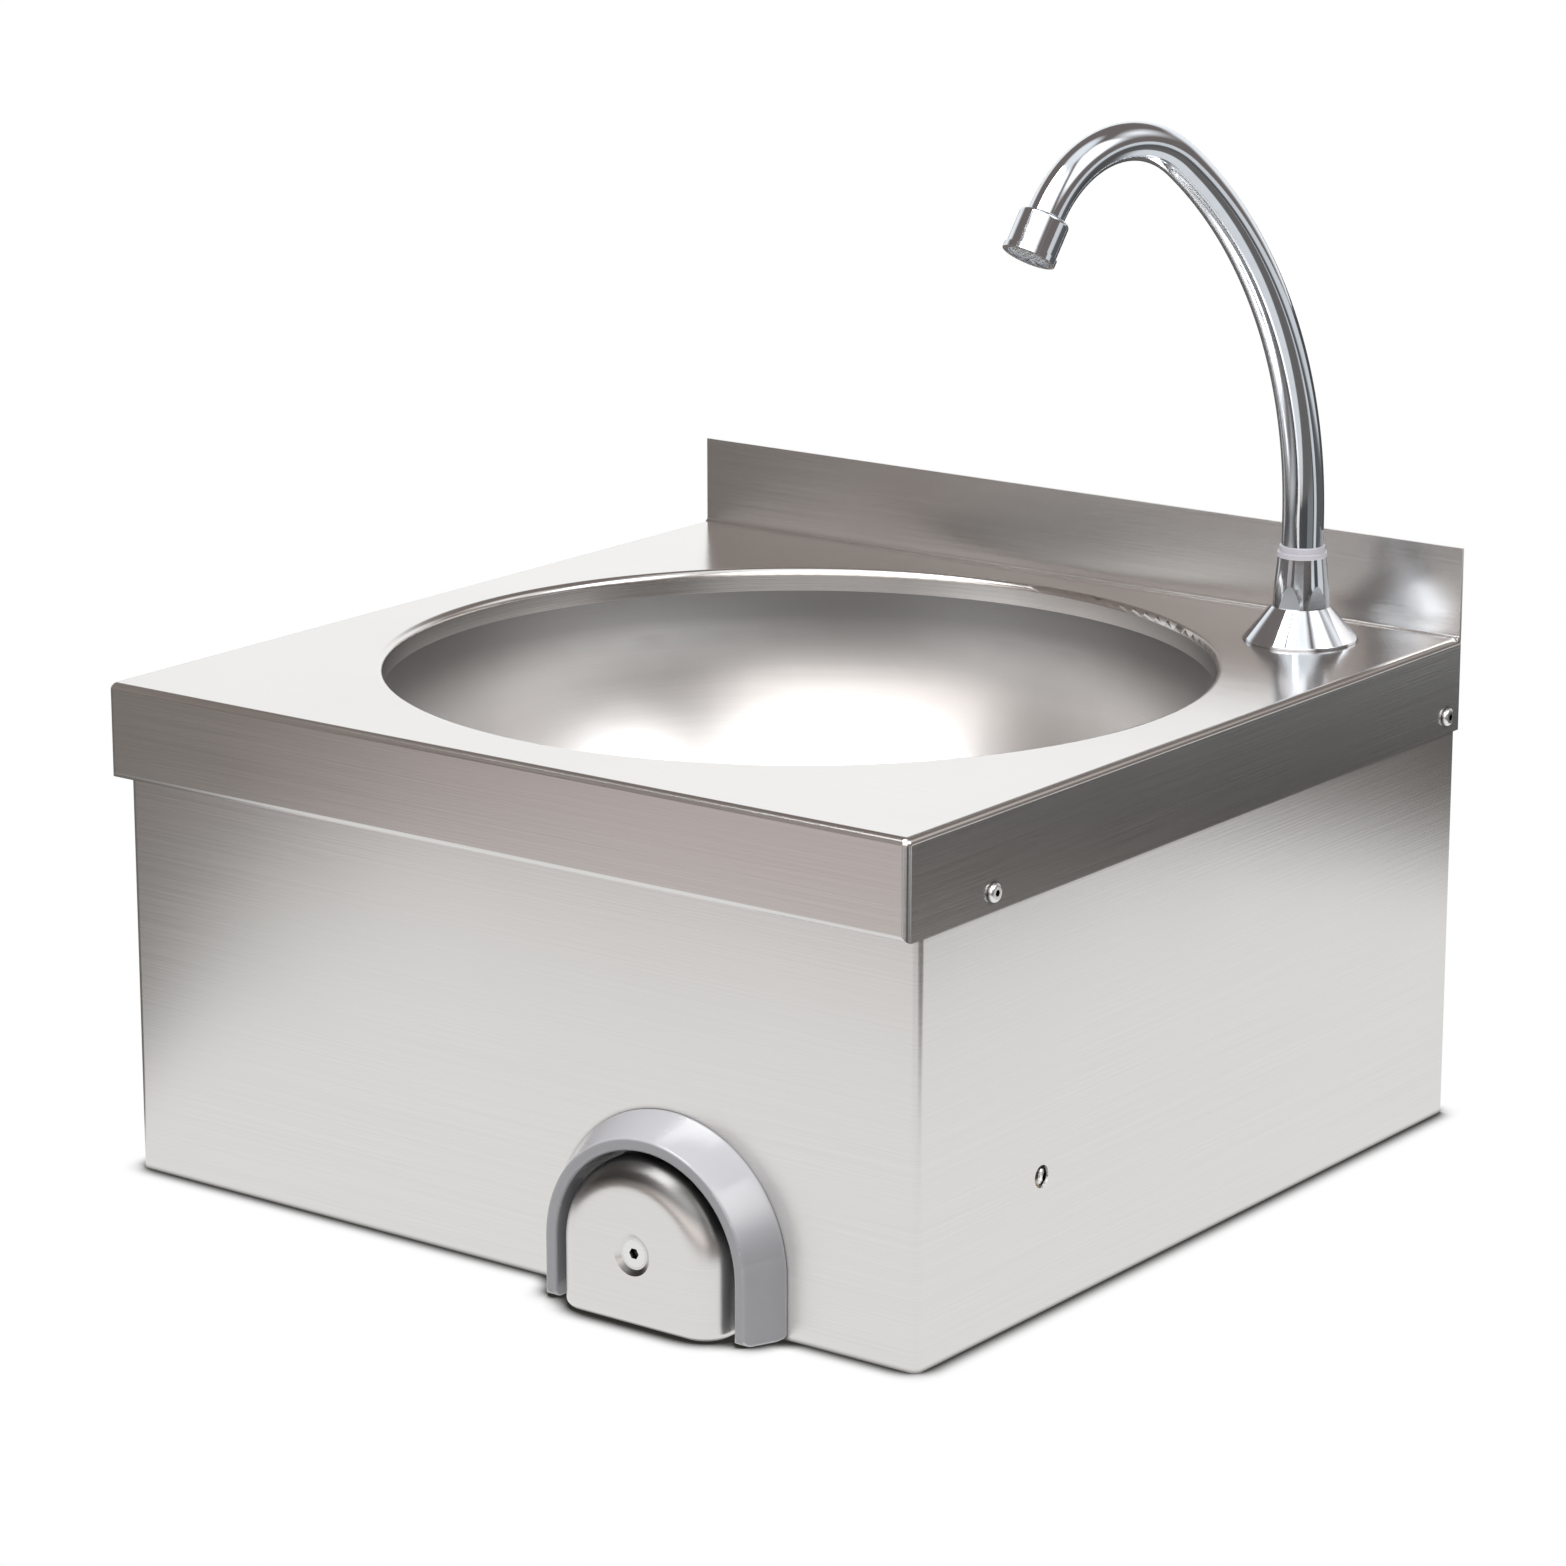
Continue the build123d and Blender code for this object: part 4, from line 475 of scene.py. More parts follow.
# %% Moulded finishes
def moulded(name, colour, deep, rough, peel, pale_edge_and_highlight=0.5, lip_width=0.5 * mm, painted_top_light=0.0, coat=0.0):
    """Moulded plastic or rubber: a colour that darkens in the film, a soft peel bump, pale edges that are
    partly a painted highlight, and painted light on upper faces.
    """
    tree, shader, place = start_material(name)
    film = grouped(tree, smudges, Place=place, Size=60.0)["Film"]
    edge = grouped(tree, edge_line, Width=lip_width)["Edge"]
    paler = tuple(min(1.0, (1.0 + pale_edge_and_highlight) * part + 0.03) for part in colour[:3]) + (1.0,)
    tone = mixed(tree, maths(tree, "MULTIPLY", film, 0.35), colour, deep)
    # Pale edges, partly from the mould and partly a painted highlight.
    tone = mixed(tree, maths(tree, "MULTIPLY", edge, pale_edge_and_highlight), tone, paler)
    # Painted light from above: faces that look up turn paler.
    upper = remap(tree, parts_of(tree, normal_of(tree))["Z"], 0.05, 0.75)
    tone = mixed(tree, maths(tree, "MULTIPLY", upper, painted_top_light), tone, paler)
    gloss = maths(tree, "MULTIPLY_ADD", film, 0.08, rough)
    finish_shader(tree, shader, tone, gloss, noise(tree, place, peel, 2.0), 0.06, 0.2 * mm)
    shader.inputs["Coat Weight"].default_value = coat


# The collar gets strong, wide pale edges as a painted highlight, and painted light on its upper faces.
moulded("collar_plastic", (0.215, 0.22, 0.235, 1), (0.2, 0.205, 0.22, 1), 0.2, 900.0, 1.0, 1.6 * mm, 0.9, 0.6)
moulded("swivel_plastic", (0.5, 0.5, 0.55, 1), (0.45, 0.45, 0.5, 1), 0.3, 900.0)
moulded("black_rubber", (0.025, 0.025, 0.026, 1), (0.018, 0.018, 0.018, 1), 0.6, 1500.0)
moulded("waste_plastic", (0.55, 0.55, 0.54, 1), (0.48, 0.48, 0.47, 1), 0.38, 900.0)
moulded("aerator_plastic", (0.5, 0.52, 0.54, 1), (0.42, 0.44, 0.46, 1), 0.35, 1500.0)
print("finishes:", len(finishes))


# %% [markdown]
# ## Dressing the solids
# The record of the model names a finish for each solid. The bowl is welded under the deck and made of
# the same steel, but spun and polished in rings, so it gets the ring finish instead of the level one.

# %% Put the finishes on the solids
def dress(piece, material):
    """Give every material slot of a piece the same finish."""
    piece.data.materials.clear()
    piece.data.materials.append(material)


slot_of = {row["node"]: row["material_slot"] for row in frame["record"]["subparts"]}
for label, solid in cad_nodes.items():
    dress(solid, finishes[slot_of[label]])
dress(cad_nodes["bowl"], finishes["bowl_steel"])
print("dressed:", len(slot_of))


# %% [markdown]
# ## Forms that follow a rule
# Four forms are described better by a rule than by a solid: a limb that bends along arcs and tapers, a
# screw thread, a coil spring, and the braid of a hose. Each is a Geometry Nodes tree. The first two
# start from a flat grid and move its points to where the rule says; the other two sweep a round wire
# along curves. The tree's inputs are the sizes that a maker would set on the machine. When it has run
# once, its result is kept as a plain mesh.

# %% Helpers for geometry trees
def chosen(tree, condition, when_false, when_true):
    """One of two numbers."""
    inputs = {0: condition, 1: when_false, 2: when_true}
    return put(tree, "GeometryNodeSwitch", inputs, input_type="FLOAT").outputs[0]


def unit_grid(tree, across, along):
    """Flat grid with its two shares, each from zero to one."""
    sizes = {"Size X": 1.0, "Size Y": 1.0, "Vertices X": across, "Vertices Y": along}
    grid = put(tree, "GeometryNodeMeshGrid", sizes).outputs["Mesh"]
    parts = parts_of(tree, put(tree, "GeometryNodeInputPosition").outputs[0])
    return grid, maths(tree, "ADD", parts["X"], 0.5), maths(tree, "ADD", parts["Y"], 0.5)


def there_and_back(tree, share):
    """Zero at both ends of a share and one in its middle."""
    off_middle = maths(tree, "ABSOLUTE", maths(tree, "MULTIPLY_ADD", share, 2.0, -1.0))
    return maths(tree, "SUBTRACT", 1.0, off_middle)


def within(tree, value, top):
    """A value held between zero and top."""
    return maths(tree, "MINIMUM", maths(tree, "MAXIMUM", value, 0.0), top)


def sine_cosine(tree, angle):
    """Sine and cosine of an angle."""
    return maths(tree, "SINE", angle), maths(tree, "COSINE", angle)


# %% Helpers that end a geometry tree
def end_tree(tree, surface, material):
    """Smooth the surface, make it real, give it its finish and end the tree."""
    smooth = put(tree, "GeometryNodeSetShadeSmooth", {"Geometry": surface}).outputs[0]
    real = put(tree, "GeometryNodeRealizeInstances", {"Geometry": smooth}).outputs[0]
    dressed = put(tree, "GeometryNodeSetMaterial", {"Geometry": real, "Material": material}).outputs[0]
    put(tree, "NodeGroupOutput", {"Geometry": dressed})
    return tree


def closed_surface(tree, grid, place, material):
    """Move the grid's points, join its seams and end the tree."""
    moved = put(tree, "GeometryNodeSetPosition", {"Geometry": grid, "Position": place}).outputs[0]
    seam = 0.002 * mm
    joined = put(tree, "GeometryNodeMergeByDistance", {"Geometry": moved, "Distance": seam}).outputs[0]
    return end_tree(tree, joined, material)


def wires_along(tree, curves, corners, radius, material):
    """Sweep a round wire along curves, cap its ends and end the tree."""
    circle = {"Resolution": corners, "Radius": radius}
    section = put(tree, "GeometryNodeCurvePrimitiveCircle", circle).outputs[0]
    sweep = {"Curve": curves, "Profile Curve": section, "Fill Caps": True}
    return end_tree(tree, put(tree, "GeometryNodeCurveToMesh", sweep).outputs[0], material)


# %% Helper that runs a geometry tree
def shaped(name, tree, sizes):
    """Run a geometry tree with named sizes and keep its result as a plain mesh object."""
    start = bpy.data.objects.new(name, bpy.data.meshes.new(name))
    bpy.context.scene.collection.objects.link(start)
    rule = start.modifiers.new("rule", "NODES")
    rule.node_group = tree
    sockets = {item.name: item.identifier for item in tree.interface.items_tree if item.in_out == "INPUT"}
    for key, value in sizes.items():
        rule[sockets[key]] = value
    bpy.context.view_layer.update()
    ready = start.evaluated_get(bpy.context.evaluated_depsgraph_get())
    mesh = bpy.data.meshes.new_from_object(ready)
    start.modifiers.remove(rule)
    start.data = mesh
    mesh.name = name
    print(name, "faces:", len(mesh.polygons))
    return start


# %% [markdown]
# ## Swan-neck spout
# The spout is a thin brass tube that is drawn to a taper, bent round two forming rollers of different
# size and then plated. Its middle line is one straight, two arcs that meet without a kink, and a short
# straight end. A point's distance along that line gives its place, and the ring round it shrinks with
# the distance. The surface goes up the outside, turns over at the tip and comes back down the bore, so
# the wall has a real thickness.

# %% Middle line of the spout
def spout_line(tree, size, run, long_run, short_run):
    """Way out, height, and sine and cosine of the turn, at a distance along the middle line."""
    rise = maths(tree, "MINIMUM", run, size["Foot length"])
    after_foot = maths(tree, "SUBTRACT", run, size["Foot length"])
    first_turn = maths(tree, "DIVIDE", within(tree, after_foot, long_run), size["Long radius"])
    after_long = maths(tree, "SUBTRACT", after_foot, long_run)
    second_turn = maths(tree, "DIVIDE", within(tree, after_long, short_run), size["Short radius"])
    last = maths(tree, "MAXIMUM", maths(tree, "SUBTRACT", after_long, short_run), 0.0)
    sine, cosine = sine_cosine(tree, maths(tree, "ADD", first_turn, second_turn))
    first_sine, first_cosine = sine_cosine(tree, first_turn)
    out = maths(tree, "MULTIPLY", size["Long radius"], maths(tree, "SUBTRACT", 1.0, first_cosine))
    gained = maths(tree, "SUBTRACT", first_cosine, cosine)
    out = maths(tree, "MULTIPLY_ADD", size["Short radius"], gained, out)
    out = maths(tree, "MULTIPLY_ADD", last, sine, out)
    up = maths(tree, "MULTIPLY_ADD", size["Long radius"], first_sine, rise)
    up = maths(tree, "MULTIPLY_ADD", size["Short radius"], maths(tree, "SUBTRACT", sine, first_sine), up)
    return out, maths(tree, "MULTIPLY_ADD", last, cosine, up), sine, cosine


# %% Wall of the spout
def spout_ring(tree, size, run, whole, outline):
    """Radius of the surface: outside with two seal grooves on the way up, bore on the way back."""
    taper = stepped(tree, run, size["Neck"], whole)
    shrink = maths(tree, "SUBTRACT", size["Tip ring"], size["Foot ring"])
    outer = maths(tree, "MULTIPLY_ADD", taper, shrink, size["Foot ring"])
    above = maths(tree, "GREATER_THAN", run, size["Neck"])
    bore = chosen(tree, above, size["Neck bore"], maths(tree, "SUBTRACT", outer, size["Wall"]))
    for groove in ("Lower groove", "Upper groove"):
        away = maths(tree, "ABSOLUTE", maths(tree, "SUBTRACT", run, size[groove]))
        inside = maths(tree, "LESS_THAN", away, size["Groove half"])
        outer = maths(tree, "SUBTRACT", outer, maths(tree, "MULTIPLY", inside, size["Groove depth"]))
    halfway = maths(tree, "GREATER_THAN", outline, 0.501)
    not_last = maths(tree, "LESS_THAN", outline, 0.999)
    return chosen(tree, maths(tree, "MULTIPLY", halfway, not_last), outer, bore)


# %% Spout tree
def limb_tree():
    """Tapering tube along a straight, two arcs and a straight."""
    tree = new_group("swan neck", "GeometryNodeTree", [
        ("Foot length", "IN", FLOAT, 0.0495),
        ("Long radius", "IN", FLOAT, 0.196),
        ("Long angle", "IN", FLOAT, 0.93),
        ("Short radius", "IN", FLOAT, 0.053),
        ("Short angle", "IN", FLOAT, 1.66),
        ("Tip length", "IN", FLOAT, 0.0053),
        ("Foot ring", "IN", FLOAT, 0.0088),
        ("Tip ring", "IN", FLOAT, 0.0075),
        ("Wall", "IN", FLOAT, 0.0011),
        ("Neck", "IN", FLOAT, 0.0375),
        ("Neck bore", "IN", FLOAT, 0.006),
        ("Groove half", "IN", FLOAT, 0.0009),
        ("Groove depth", "IN", FLOAT, 0.00145),
        ("Lower groove", "IN", FLOAT, 0.006),
        ("Upper groove", "IN", FLOAT, 0.016),
        ("Material", "IN", "NodeSocketMaterial", None),
        ("Geometry", "OUT", "NodeSocketGeometry", None),
    ])
    size = put(tree, "NodeGroupInput").outputs
    grid, around, outline = unit_grid(tree, 81, 361)
    there = there_and_back(tree, outline)
    long_run = maths(tree, "MULTIPLY", size["Long radius"], size["Long angle"])
    short_run = maths(tree, "MULTIPLY", size["Short radius"], size["Short angle"])
    bends = maths(tree, "ADD", long_run, short_run)
    whole = maths(tree, "ADD", maths(tree, "ADD", size["Foot length"], bends), size["Tip length"])
    beyond = maths(tree, "SUBTRACT", whole, size["Neck"])
    low = maths(tree, "MULTIPLY", stepped(tree, there, 0.0, 0.4), size["Neck"])
    run = maths(tree, "MULTIPLY_ADD", stepped(tree, there, 0.4, 1.0), beyond, low)
    out, up, sine, cosine = spout_line(tree, size, run, long_run, short_run)
    ring = spout_ring(tree, size, run, whole, outline)
    round_sine, round_cosine = sine_cosine(tree, maths(tree, "MULTIPLY", around, 2.0 * math.pi))
    in_plane = maths(tree, "MULTIPLY", ring, round_cosine)
    sideways = maths(tree, "MULTIPLY", ring, round_sine)
    out = maths(tree, "MULTIPLY_ADD", in_plane, cosine, out)
    up = maths(tree, "SUBTRACT", up, maths(tree, "MULTIPLY", in_plane, sine))
    return closed_surface(tree, grid, vector(tree, out, sideways, up), size["Material"])


# %% Spout
def placed(piece, matrix):
    """Put a piece's points where they belong, so that the object itself stays at the origin."""
    piece.data.transform(matrix)
    piece.data.update()
    return piece


deck = 210.0 * mm
socket_floor = 213.0 * mm
spout_sizes = {
    "Foot length": deck + 52.5 * mm - socket_floor,
    "Long radius": 196.0 * mm,
    "Long angle": math.radians(53.1),
    "Short radius": 52.8 * mm,
    "Short angle": math.radians(95.3),
    "Tip length": 5.3 * mm,
    "Foot ring": 8.8 * mm,
    "Tip ring": 7.5 * mm,
    "Wall": 1.1 * mm,
    "Neck": 37.5 * mm,
    "Material": finishes["tap_chrome"],
}
spout = shaped("swan_neck", limb_tree(), spout_sizes)
heading = Matrix.Rotation(math.radians(-100.7), 4, "Z")
placed(spout, Matrix.Translation((tap_centre[0], tap_centre[1], socket_floor)) @ heading)
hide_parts("spout_tube")
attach(spout, "spout")


# %% [markdown]
# ## Screw threads
# The water inlets, the waste tail and the shank under the tap are pipe threads. A thread is cut by a
# tool that moves along while the work turns, so the depth at a point depends only on its height less
# its angle. The sleeves made here carry that ridge on the plain cylinders of the model and fade out at
# both ends.

# %% Thread tree
def thread_tree():
    """Threaded sleeve round the Z axis with a plain bore."""
    tree = new_group("pipe thread", "GeometryNodeTree", [
        ("Length", "IN", FLOAT, 0.014),
        ("Radius", "IN", FLOAT, 0.0105),
        ("Pitch", "IN", FLOAT, 0.0018),
        ("Crest", "IN", FLOAT, 0.00035),
        ("Root", "IN", FLOAT, 0.0006),
        ("Rows", "IN", "NodeSocketInt", 160),
        ("Material", "IN", "NodeSocketMaterial", None),
        ("Geometry", "OUT", "NodeSocketGeometry", None),
    ])
    size = put(tree, "NodeGroupInput").outputs
    grid, around, outline = unit_grid(tree, 97, size["Rows"])
    height = maths(tree, "MULTIPLY", stepped(tree, outline, 0.0, 0.96), size["Length"])
    back = maths(tree, "MULTIPLY", stepped(tree, outline, 0.985, 1.0), size["Length"])
    height = maths(tree, "SUBTRACT", height, back)
    turns = maths(tree, "DIVIDE", height, size["Pitch"])
    phase = maths(tree, "FRACT", maths(tree, "SUBTRACT", turns, around))
    ridge = stepped(tree, there_and_back(tree, phase), 0.12, 0.88)
    lead = maths(tree, "MULTIPLY", size["Pitch"], 0.8)
    first = stepped(tree, height, 0.0, lead)
    last = stepped(tree, height, size["Length"], maths(tree, "SUBTRACT", size["Length"], lead))
    ridge = maths(tree, "MULTIPLY", ridge, maths(tree, "MULTIPLY", first, last))
    depth = maths(tree, "ADD", size["Crest"], size["Root"])
    low = maths(tree, "SUBTRACT", size["Radius"], size["Root"])
    threaded = maths(tree, "MULTIPLY_ADD", ridge, depth, low)
    inner = maths(tree, "SUBTRACT", low, size["Root"])
    past_top = maths(tree, "GREATER_THAN", outline, 0.97)
    not_last = maths(tree, "LESS_THAN", outline, 0.9995)
    ring = chosen(tree, maths(tree, "MULTIPLY", past_top, not_last), threaded, inner)
    sine, cosine = sine_cosine(tree, maths(tree, "MULTIPLY", around, 2.0 * math.pi))
    x = maths(tree, "MULTIPLY", ring, cosine)
    y = maths(tree, "MULTIPLY", ring, sine)
    return closed_surface(tree, grid, vector(tree, x, y, height), size["Material"])


# %% Threads
pipe_thread = thread_tree()
half_inch = {"Radius": 10.48 * mm, "Pitch": 1.814 * mm}
inlet_sizes = dict(half_inch, Length=13.6 * mm, Material=finishes["brass"])
to_wall = Matrix.Rotation(math.radians(-90.0), 4, "X")
for label, inlet_x in (("hot_inlet_thread", 134.0 * mm), ("cold_inlet_thread", 164.0 * mm)):
    sleeve = shaped(label, pipe_thread, inlet_sizes)
    placed(sleeve, Matrix.Translation((inlet_x, -73.6 * mm, 53.8 * mm)) @ to_wall)
    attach(sleeve, "basin")

# %% Threads of the tap and the waste
shank_sizes = dict(half_inch, Length=46.0 * mm, Rows=420, Material=finishes["tap_chrome"])
shank_thread = shaped("tap_shank_thread", pipe_thread, shank_sizes)
placed(shank_thread, Matrix.Translation((tap_centre[0], tap_centre[1], 150.2 * mm)))
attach(shank_thread, "basin")

waste_sizes = {
    "Length": 25.0 * mm,
    "Radius": 20.95 * mm,
    "Pitch": 2.309 * mm,
    "Crest": 0.45 * mm,
    "Rows": 240,
    "Material": finishes["waste_plastic"],
}
waste_thread = shaped("waste_thread", pipe_thread, waste_sizes)
placed(waste_thread, Matrix.Translation((bowl_centre[0], bowl_centre[1], 12.3 * mm)))
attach(waste_thread, "basin")


# %% [markdown]
# ## Return spring
# The spring behind the pad is wound cold from stainless wire on a rod. When the pad goes in by 12 mm its
# coils move closer together. Here it is wound to the length of the model's spring and hung on the basin, with
# a mesh of its own.

# %% Spring tree
def spring_tree():
    """Round wire wound along Z."""
    tree = new_group("coil spring", "GeometryNodeTree", [
        ("Turns", "IN", FLOAT, 6.0),
        ("Ring", "IN", FLOAT, 0.0074),
        ("Height", "IN", FLOAT, 0.0244),
        ("Wire", "IN", FLOAT, 0.0007),
        ("Material", "IN", "NodeSocketMaterial", None),
        ("Geometry", "OUT", "NodeSocketGeometry", None),
    ])
    size = put(tree, "NodeGroupInput").outputs
    path = {"Resolution": 48, "Rotations": size["Turns"], "Height": size["Height"]}
    path.update({"Start Radius": size["Ring"], "End Radius": size["Ring"]})
    coil = put(tree, "GeometryNodeCurveSpiral", path).outputs[0]
    return wires_along(tree, coil, 12, size["Wire"], size["Material"])


# %% Spring
spring_low, spring_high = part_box("return_spring")
wire_radius = 0.7 * mm
spring_length = spring_high[1] - spring_low[1]
spring_sizes = {
    "Height": spring_length - 2.0 * wire_radius,
    "Wire": wire_radius,
    "Material": finishes["spring_steel"],
}
spring = shaped("coil_spring", spring_tree(), spring_sizes)
middle_x = (spring_low[0] + spring_high[0]) / 2.0
middle_z = (spring_low[2] + spring_high[2]) / 2.0
placed(spring, Matrix.Translation((middle_x, spring_low[1] + wire_radius, middle_z)) @ to_wall)
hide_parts("return_spring")
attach(spring, "basin")
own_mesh(spring)


# %% [markdown]
# ## Braided hose
# The supply hose is a rubber tube in a sleeve of fine steel wire. A braiding machine winds half of the
# strands one way and half the other, and each passes over and under the ones that it meets. The tree
# winds the strands round a straight line first, and then lays that line along the hose: a straight, a
# quarter bend, the long run under the deck, a second quarter bend and the rise to the tap.

# %% Strands of the braid
def strand_lines(tree, size):
    """Straight upright lines, one for each strand, and the number of each strand."""
    ends = {"Start": (0.0, 0.0, 0.0), "End": (0.0, 0.0, 1.0)}
    line = put(tree, "GeometryNodeCurvePrimitiveLine", ends).outputs[0]
    line = put(tree, "GeometryNodeResampleCurve", {"Curve": line, "Count": size["Points"]}).outputs[0]
    doubled = maths(tree, "MULTIPLY", size["Strands"], 2.0)
    marks = put(tree, "GeometryNodeMeshLine", {"Count": doubled, "Offset": (0.0, 0.0, 0.0)}).outputs[0]
    number = put(tree, "GeometryNodeInputIndex").outputs[0]
    numbered = {"Geometry": marks, "Name": "strand", "Value": number}
    marks = put(tree, "GeometryNodeStoreNamedAttribute", numbered).outputs[0]
    copies = put(tree, "GeometryNodeInstanceOnPoints", {"Points": marks, "Instance": line}).outputs[0]
    lines = put(tree, "GeometryNodeRealizeInstances", {"Geometry": copies}).outputs[0]
    strand = put(tree, "GeometryNodeInputNamedAttribute", {"Name": "strand"}, data_type="FLOAT").outputs[0]
    return lines, strand


def woven(tree, size, run, strand):
    """Place across the hose of a strand that winds round it and passes over and under the others."""
    second_half = maths(tree, "GREATER_THAN", maths(tree, "ADD", strand, 0.5), size["Strands"])
    way = maths(tree, "MULTIPLY_ADD", second_half, -2.0, 1.0)
    spacing = maths(tree, "DIVIDE", maths(tree, "MULTIPLY", strand, 2.0 * math.pi), size["Strands"])
    turned = maths(tree, "MULTIPLY", maths(tree, "DIVIDE", run, size["Twist"]), 2.0 * math.pi)
    meeting = maths(tree, "MULTIPLY", turned, size["Strands"])
    weave = maths(tree, "MULTIPLY", maths(tree, "SINE", meeting), way)
    ring = maths(tree, "MULTIPLY_ADD", weave, size["Lift"], size["Ring"])
    sine, cosine = sine_cosine(tree, maths(tree, "MULTIPLY_ADD", turned, way, spacing))
    return maths(tree, "MULTIPLY", ring, cosine), maths(tree, "MULTIPLY", ring, sine)


# %% Path of the hose
def along_hose(tree, size, run, quarter, side, top):
    """Place of a point that lies a distance along the hose, side across it and top above it."""
    after_first = maths(tree, "SUBTRACT", run, size["First run"])
    first_turn = maths(tree, "DIVIDE", within(tree, after_first, quarter), size["Bend"])
    after_bend = maths(tree, "SUBTRACT", after_first, quarter)
    straight = within(tree, after_bend, size["Long run"])
    after_long = maths(tree, "SUBTRACT", after_bend, size["Long run"])
    second_turn = maths(tree, "DIVIDE", within(tree, after_long, quarter), size["Bend"])
    climb = maths(tree, "MAXIMUM", maths(tree, "SUBTRACT", after_long, quarter), 0.0)
    one_sine, one_cosine = sine_cosine(tree, first_turn)
    two_sine, two_cosine = sine_cosine(tree, second_turn)
    x = maths(tree, "MULTIPLY_ADD", size["Bend"], one_sine, maths(tree, "MINIMUM", run, size["First run"]))
    x = maths(tree, "SUBTRACT", x, maths(tree, "MULTIPLY", side, one_sine))
    y = maths(tree, "MULTIPLY_ADD", size["Bend"], maths(tree, "SUBTRACT", 1.0, one_cosine), straight)
    y = maths(tree, "MULTIPLY_ADD", size["Bend"], two_sine, y)
    y = maths(tree, "MULTIPLY_ADD", side, one_cosine, y)
    y = maths(tree, "SUBTRACT", y, maths(tree, "MULTIPLY", top, two_sine))
    z = maths(tree, "MULTIPLY_ADD", size["Bend"], maths(tree, "SUBTRACT", 1.0, two_cosine), climb)
    return vector(tree, x, y, maths(tree, "MULTIPLY_ADD", top, two_cosine, z))


# %% Braid tree
def braid_tree():
    """Strands wound both ways round a hose that turns from X to Y and then to Z."""
    tree = new_group("hose braid", "GeometryNodeTree", [
        ("Strands", "IN", "NodeSocketInt", 12),
        ("Points", "IN", "NodeSocketInt", 560),
        ("Ring", "IN", FLOAT, 0.0062),
        ("Lift", "IN", FLOAT, 0.00012),
        ("Twist", "IN", FLOAT, 0.024),
        ("Wire", "IN", FLOAT, 0.00055),
        ("First run", "IN", FLOAT, 0.0004),
        ("Bend", "IN", FLOAT, 0.02),
        ("Long run", "IN", FLOAT, 0.2587),
        ("Rise", "IN", FLOAT, 0.0843),
        ("Material", "IN", "NodeSocketMaterial", None),
        ("Geometry", "OUT", "NodeSocketGeometry", None),
    ])
    size = put(tree, "NodeGroupInput").outputs
    quarter = maths(tree, "MULTIPLY", size["Bend"], 0.5 * math.pi)
    runs = maths(tree, "ADD", maths(tree, "ADD", size["First run"], size["Long run"]), size["Rise"])
    whole = maths(tree, "MULTIPLY_ADD", quarter, 2.0, runs)
    lines, strand = strand_lines(tree, size)
    share = parts_of(tree, put(tree, "GeometryNodeInputPosition").outputs[0])["Z"]
    run = maths(tree, "MULTIPLY", share, whole)
    side, top = woven(tree, size, run, strand)
    moved = {"Geometry": lines, "Position": along_hose(tree, size, run, quarter, side, top)}
    laid = put(tree, "GeometryNodeSetPosition", moved).outputs[0]
    return wires_along(tree, laid, 4, size["Wire"], size["Material"])


# %% Braid
braid_sizes = {
    "First run": 0.4 * mm,
    "Bend": 20.0 * mm,
    "Long run": 258.68 * mm,
    "Rise": 84.3 * mm,
    "Material": finishes["hose_braid"],
}
hose_start = (126.6 * mm, -134.0 * mm, 29.4 * mm)
braid = placed(shaped("hose_braid", braid_tree(), braid_sizes), Matrix.Translation(hose_start))
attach(braid, "basin")


# %% [markdown]
# ## Light
# The basin stands on a white sweep in a studio, and polished metal shows what stands round it. So the
# world is more than plain white: it is bright behind the basin and overhead, and dim on the camera's
# side, where the room is. Five soft boxes hang in the dim part. They light the floor of the bowl, draw
# the streaks on the pad and the collar, and give the tap its bright bands with dark ones between.
# Camera rays see plain white.

# %% Helpers for places round the studio
def window(tree, value, start, stop, soft):
    """One between start and stop, falling to zero over soft on either side."""
    on = stepped(tree, value, start - soft, start + soft)
    off = stepped(tree, value, stop + soft, stop - soft)
    return maths(tree, "SMOOTH_MIN", on, off, 0.1)


def in_degrees(tree, angle):
    """Angle in degrees."""
    return maths(tree, "MULTIPLY", angle, 180.0 / math.pi)


def bearing_of(tree, parts):
    """Degrees round from -Y towards +X."""
    return in_degrees(tree, maths(tree, "ARCTAN2", parts["X"], maths(tree, "MULTIPLY", parts["Y"], -1.0)))


# %% World
WHITE = (1.0, 1.0, 1.0, 1.0)
ROOM = (0.2, 0.17, 0.155, 1.0)
GLOW = (1.05, 1.05, 1.05, 1.0)
world = bpy.data.worlds.new("studio")
bpy.context.scene.world = world
world.use_nodes = True
sky = world.node_tree
sky.nodes.clear()
toward = put(sky, "ShaderNodeTexCoord").outputs["Generated"]
aim = parts_of(sky, toward)
bearing = bearing_of(sky, aim)
elevation = in_degrees(sky, maths(sky, "ARCSINE", aim["Z"]))
behind = remap(sky, dot(sky, toward, (-0.6, 0.8, 0.0)), 0.45, 0.75)
back_light = maths(sky, "MULTIPLY", behind, remap(sky, aim["Z"], 0.34, 0.5, 1.0, 0.0))
top_light = remap(sky, aim["Z"], 0.9, 0.98)
room = mixed(sky, maths(sky, "MAXIMUM", back_light, top_light), ROOM, GLOW)
print("world:", world.name)


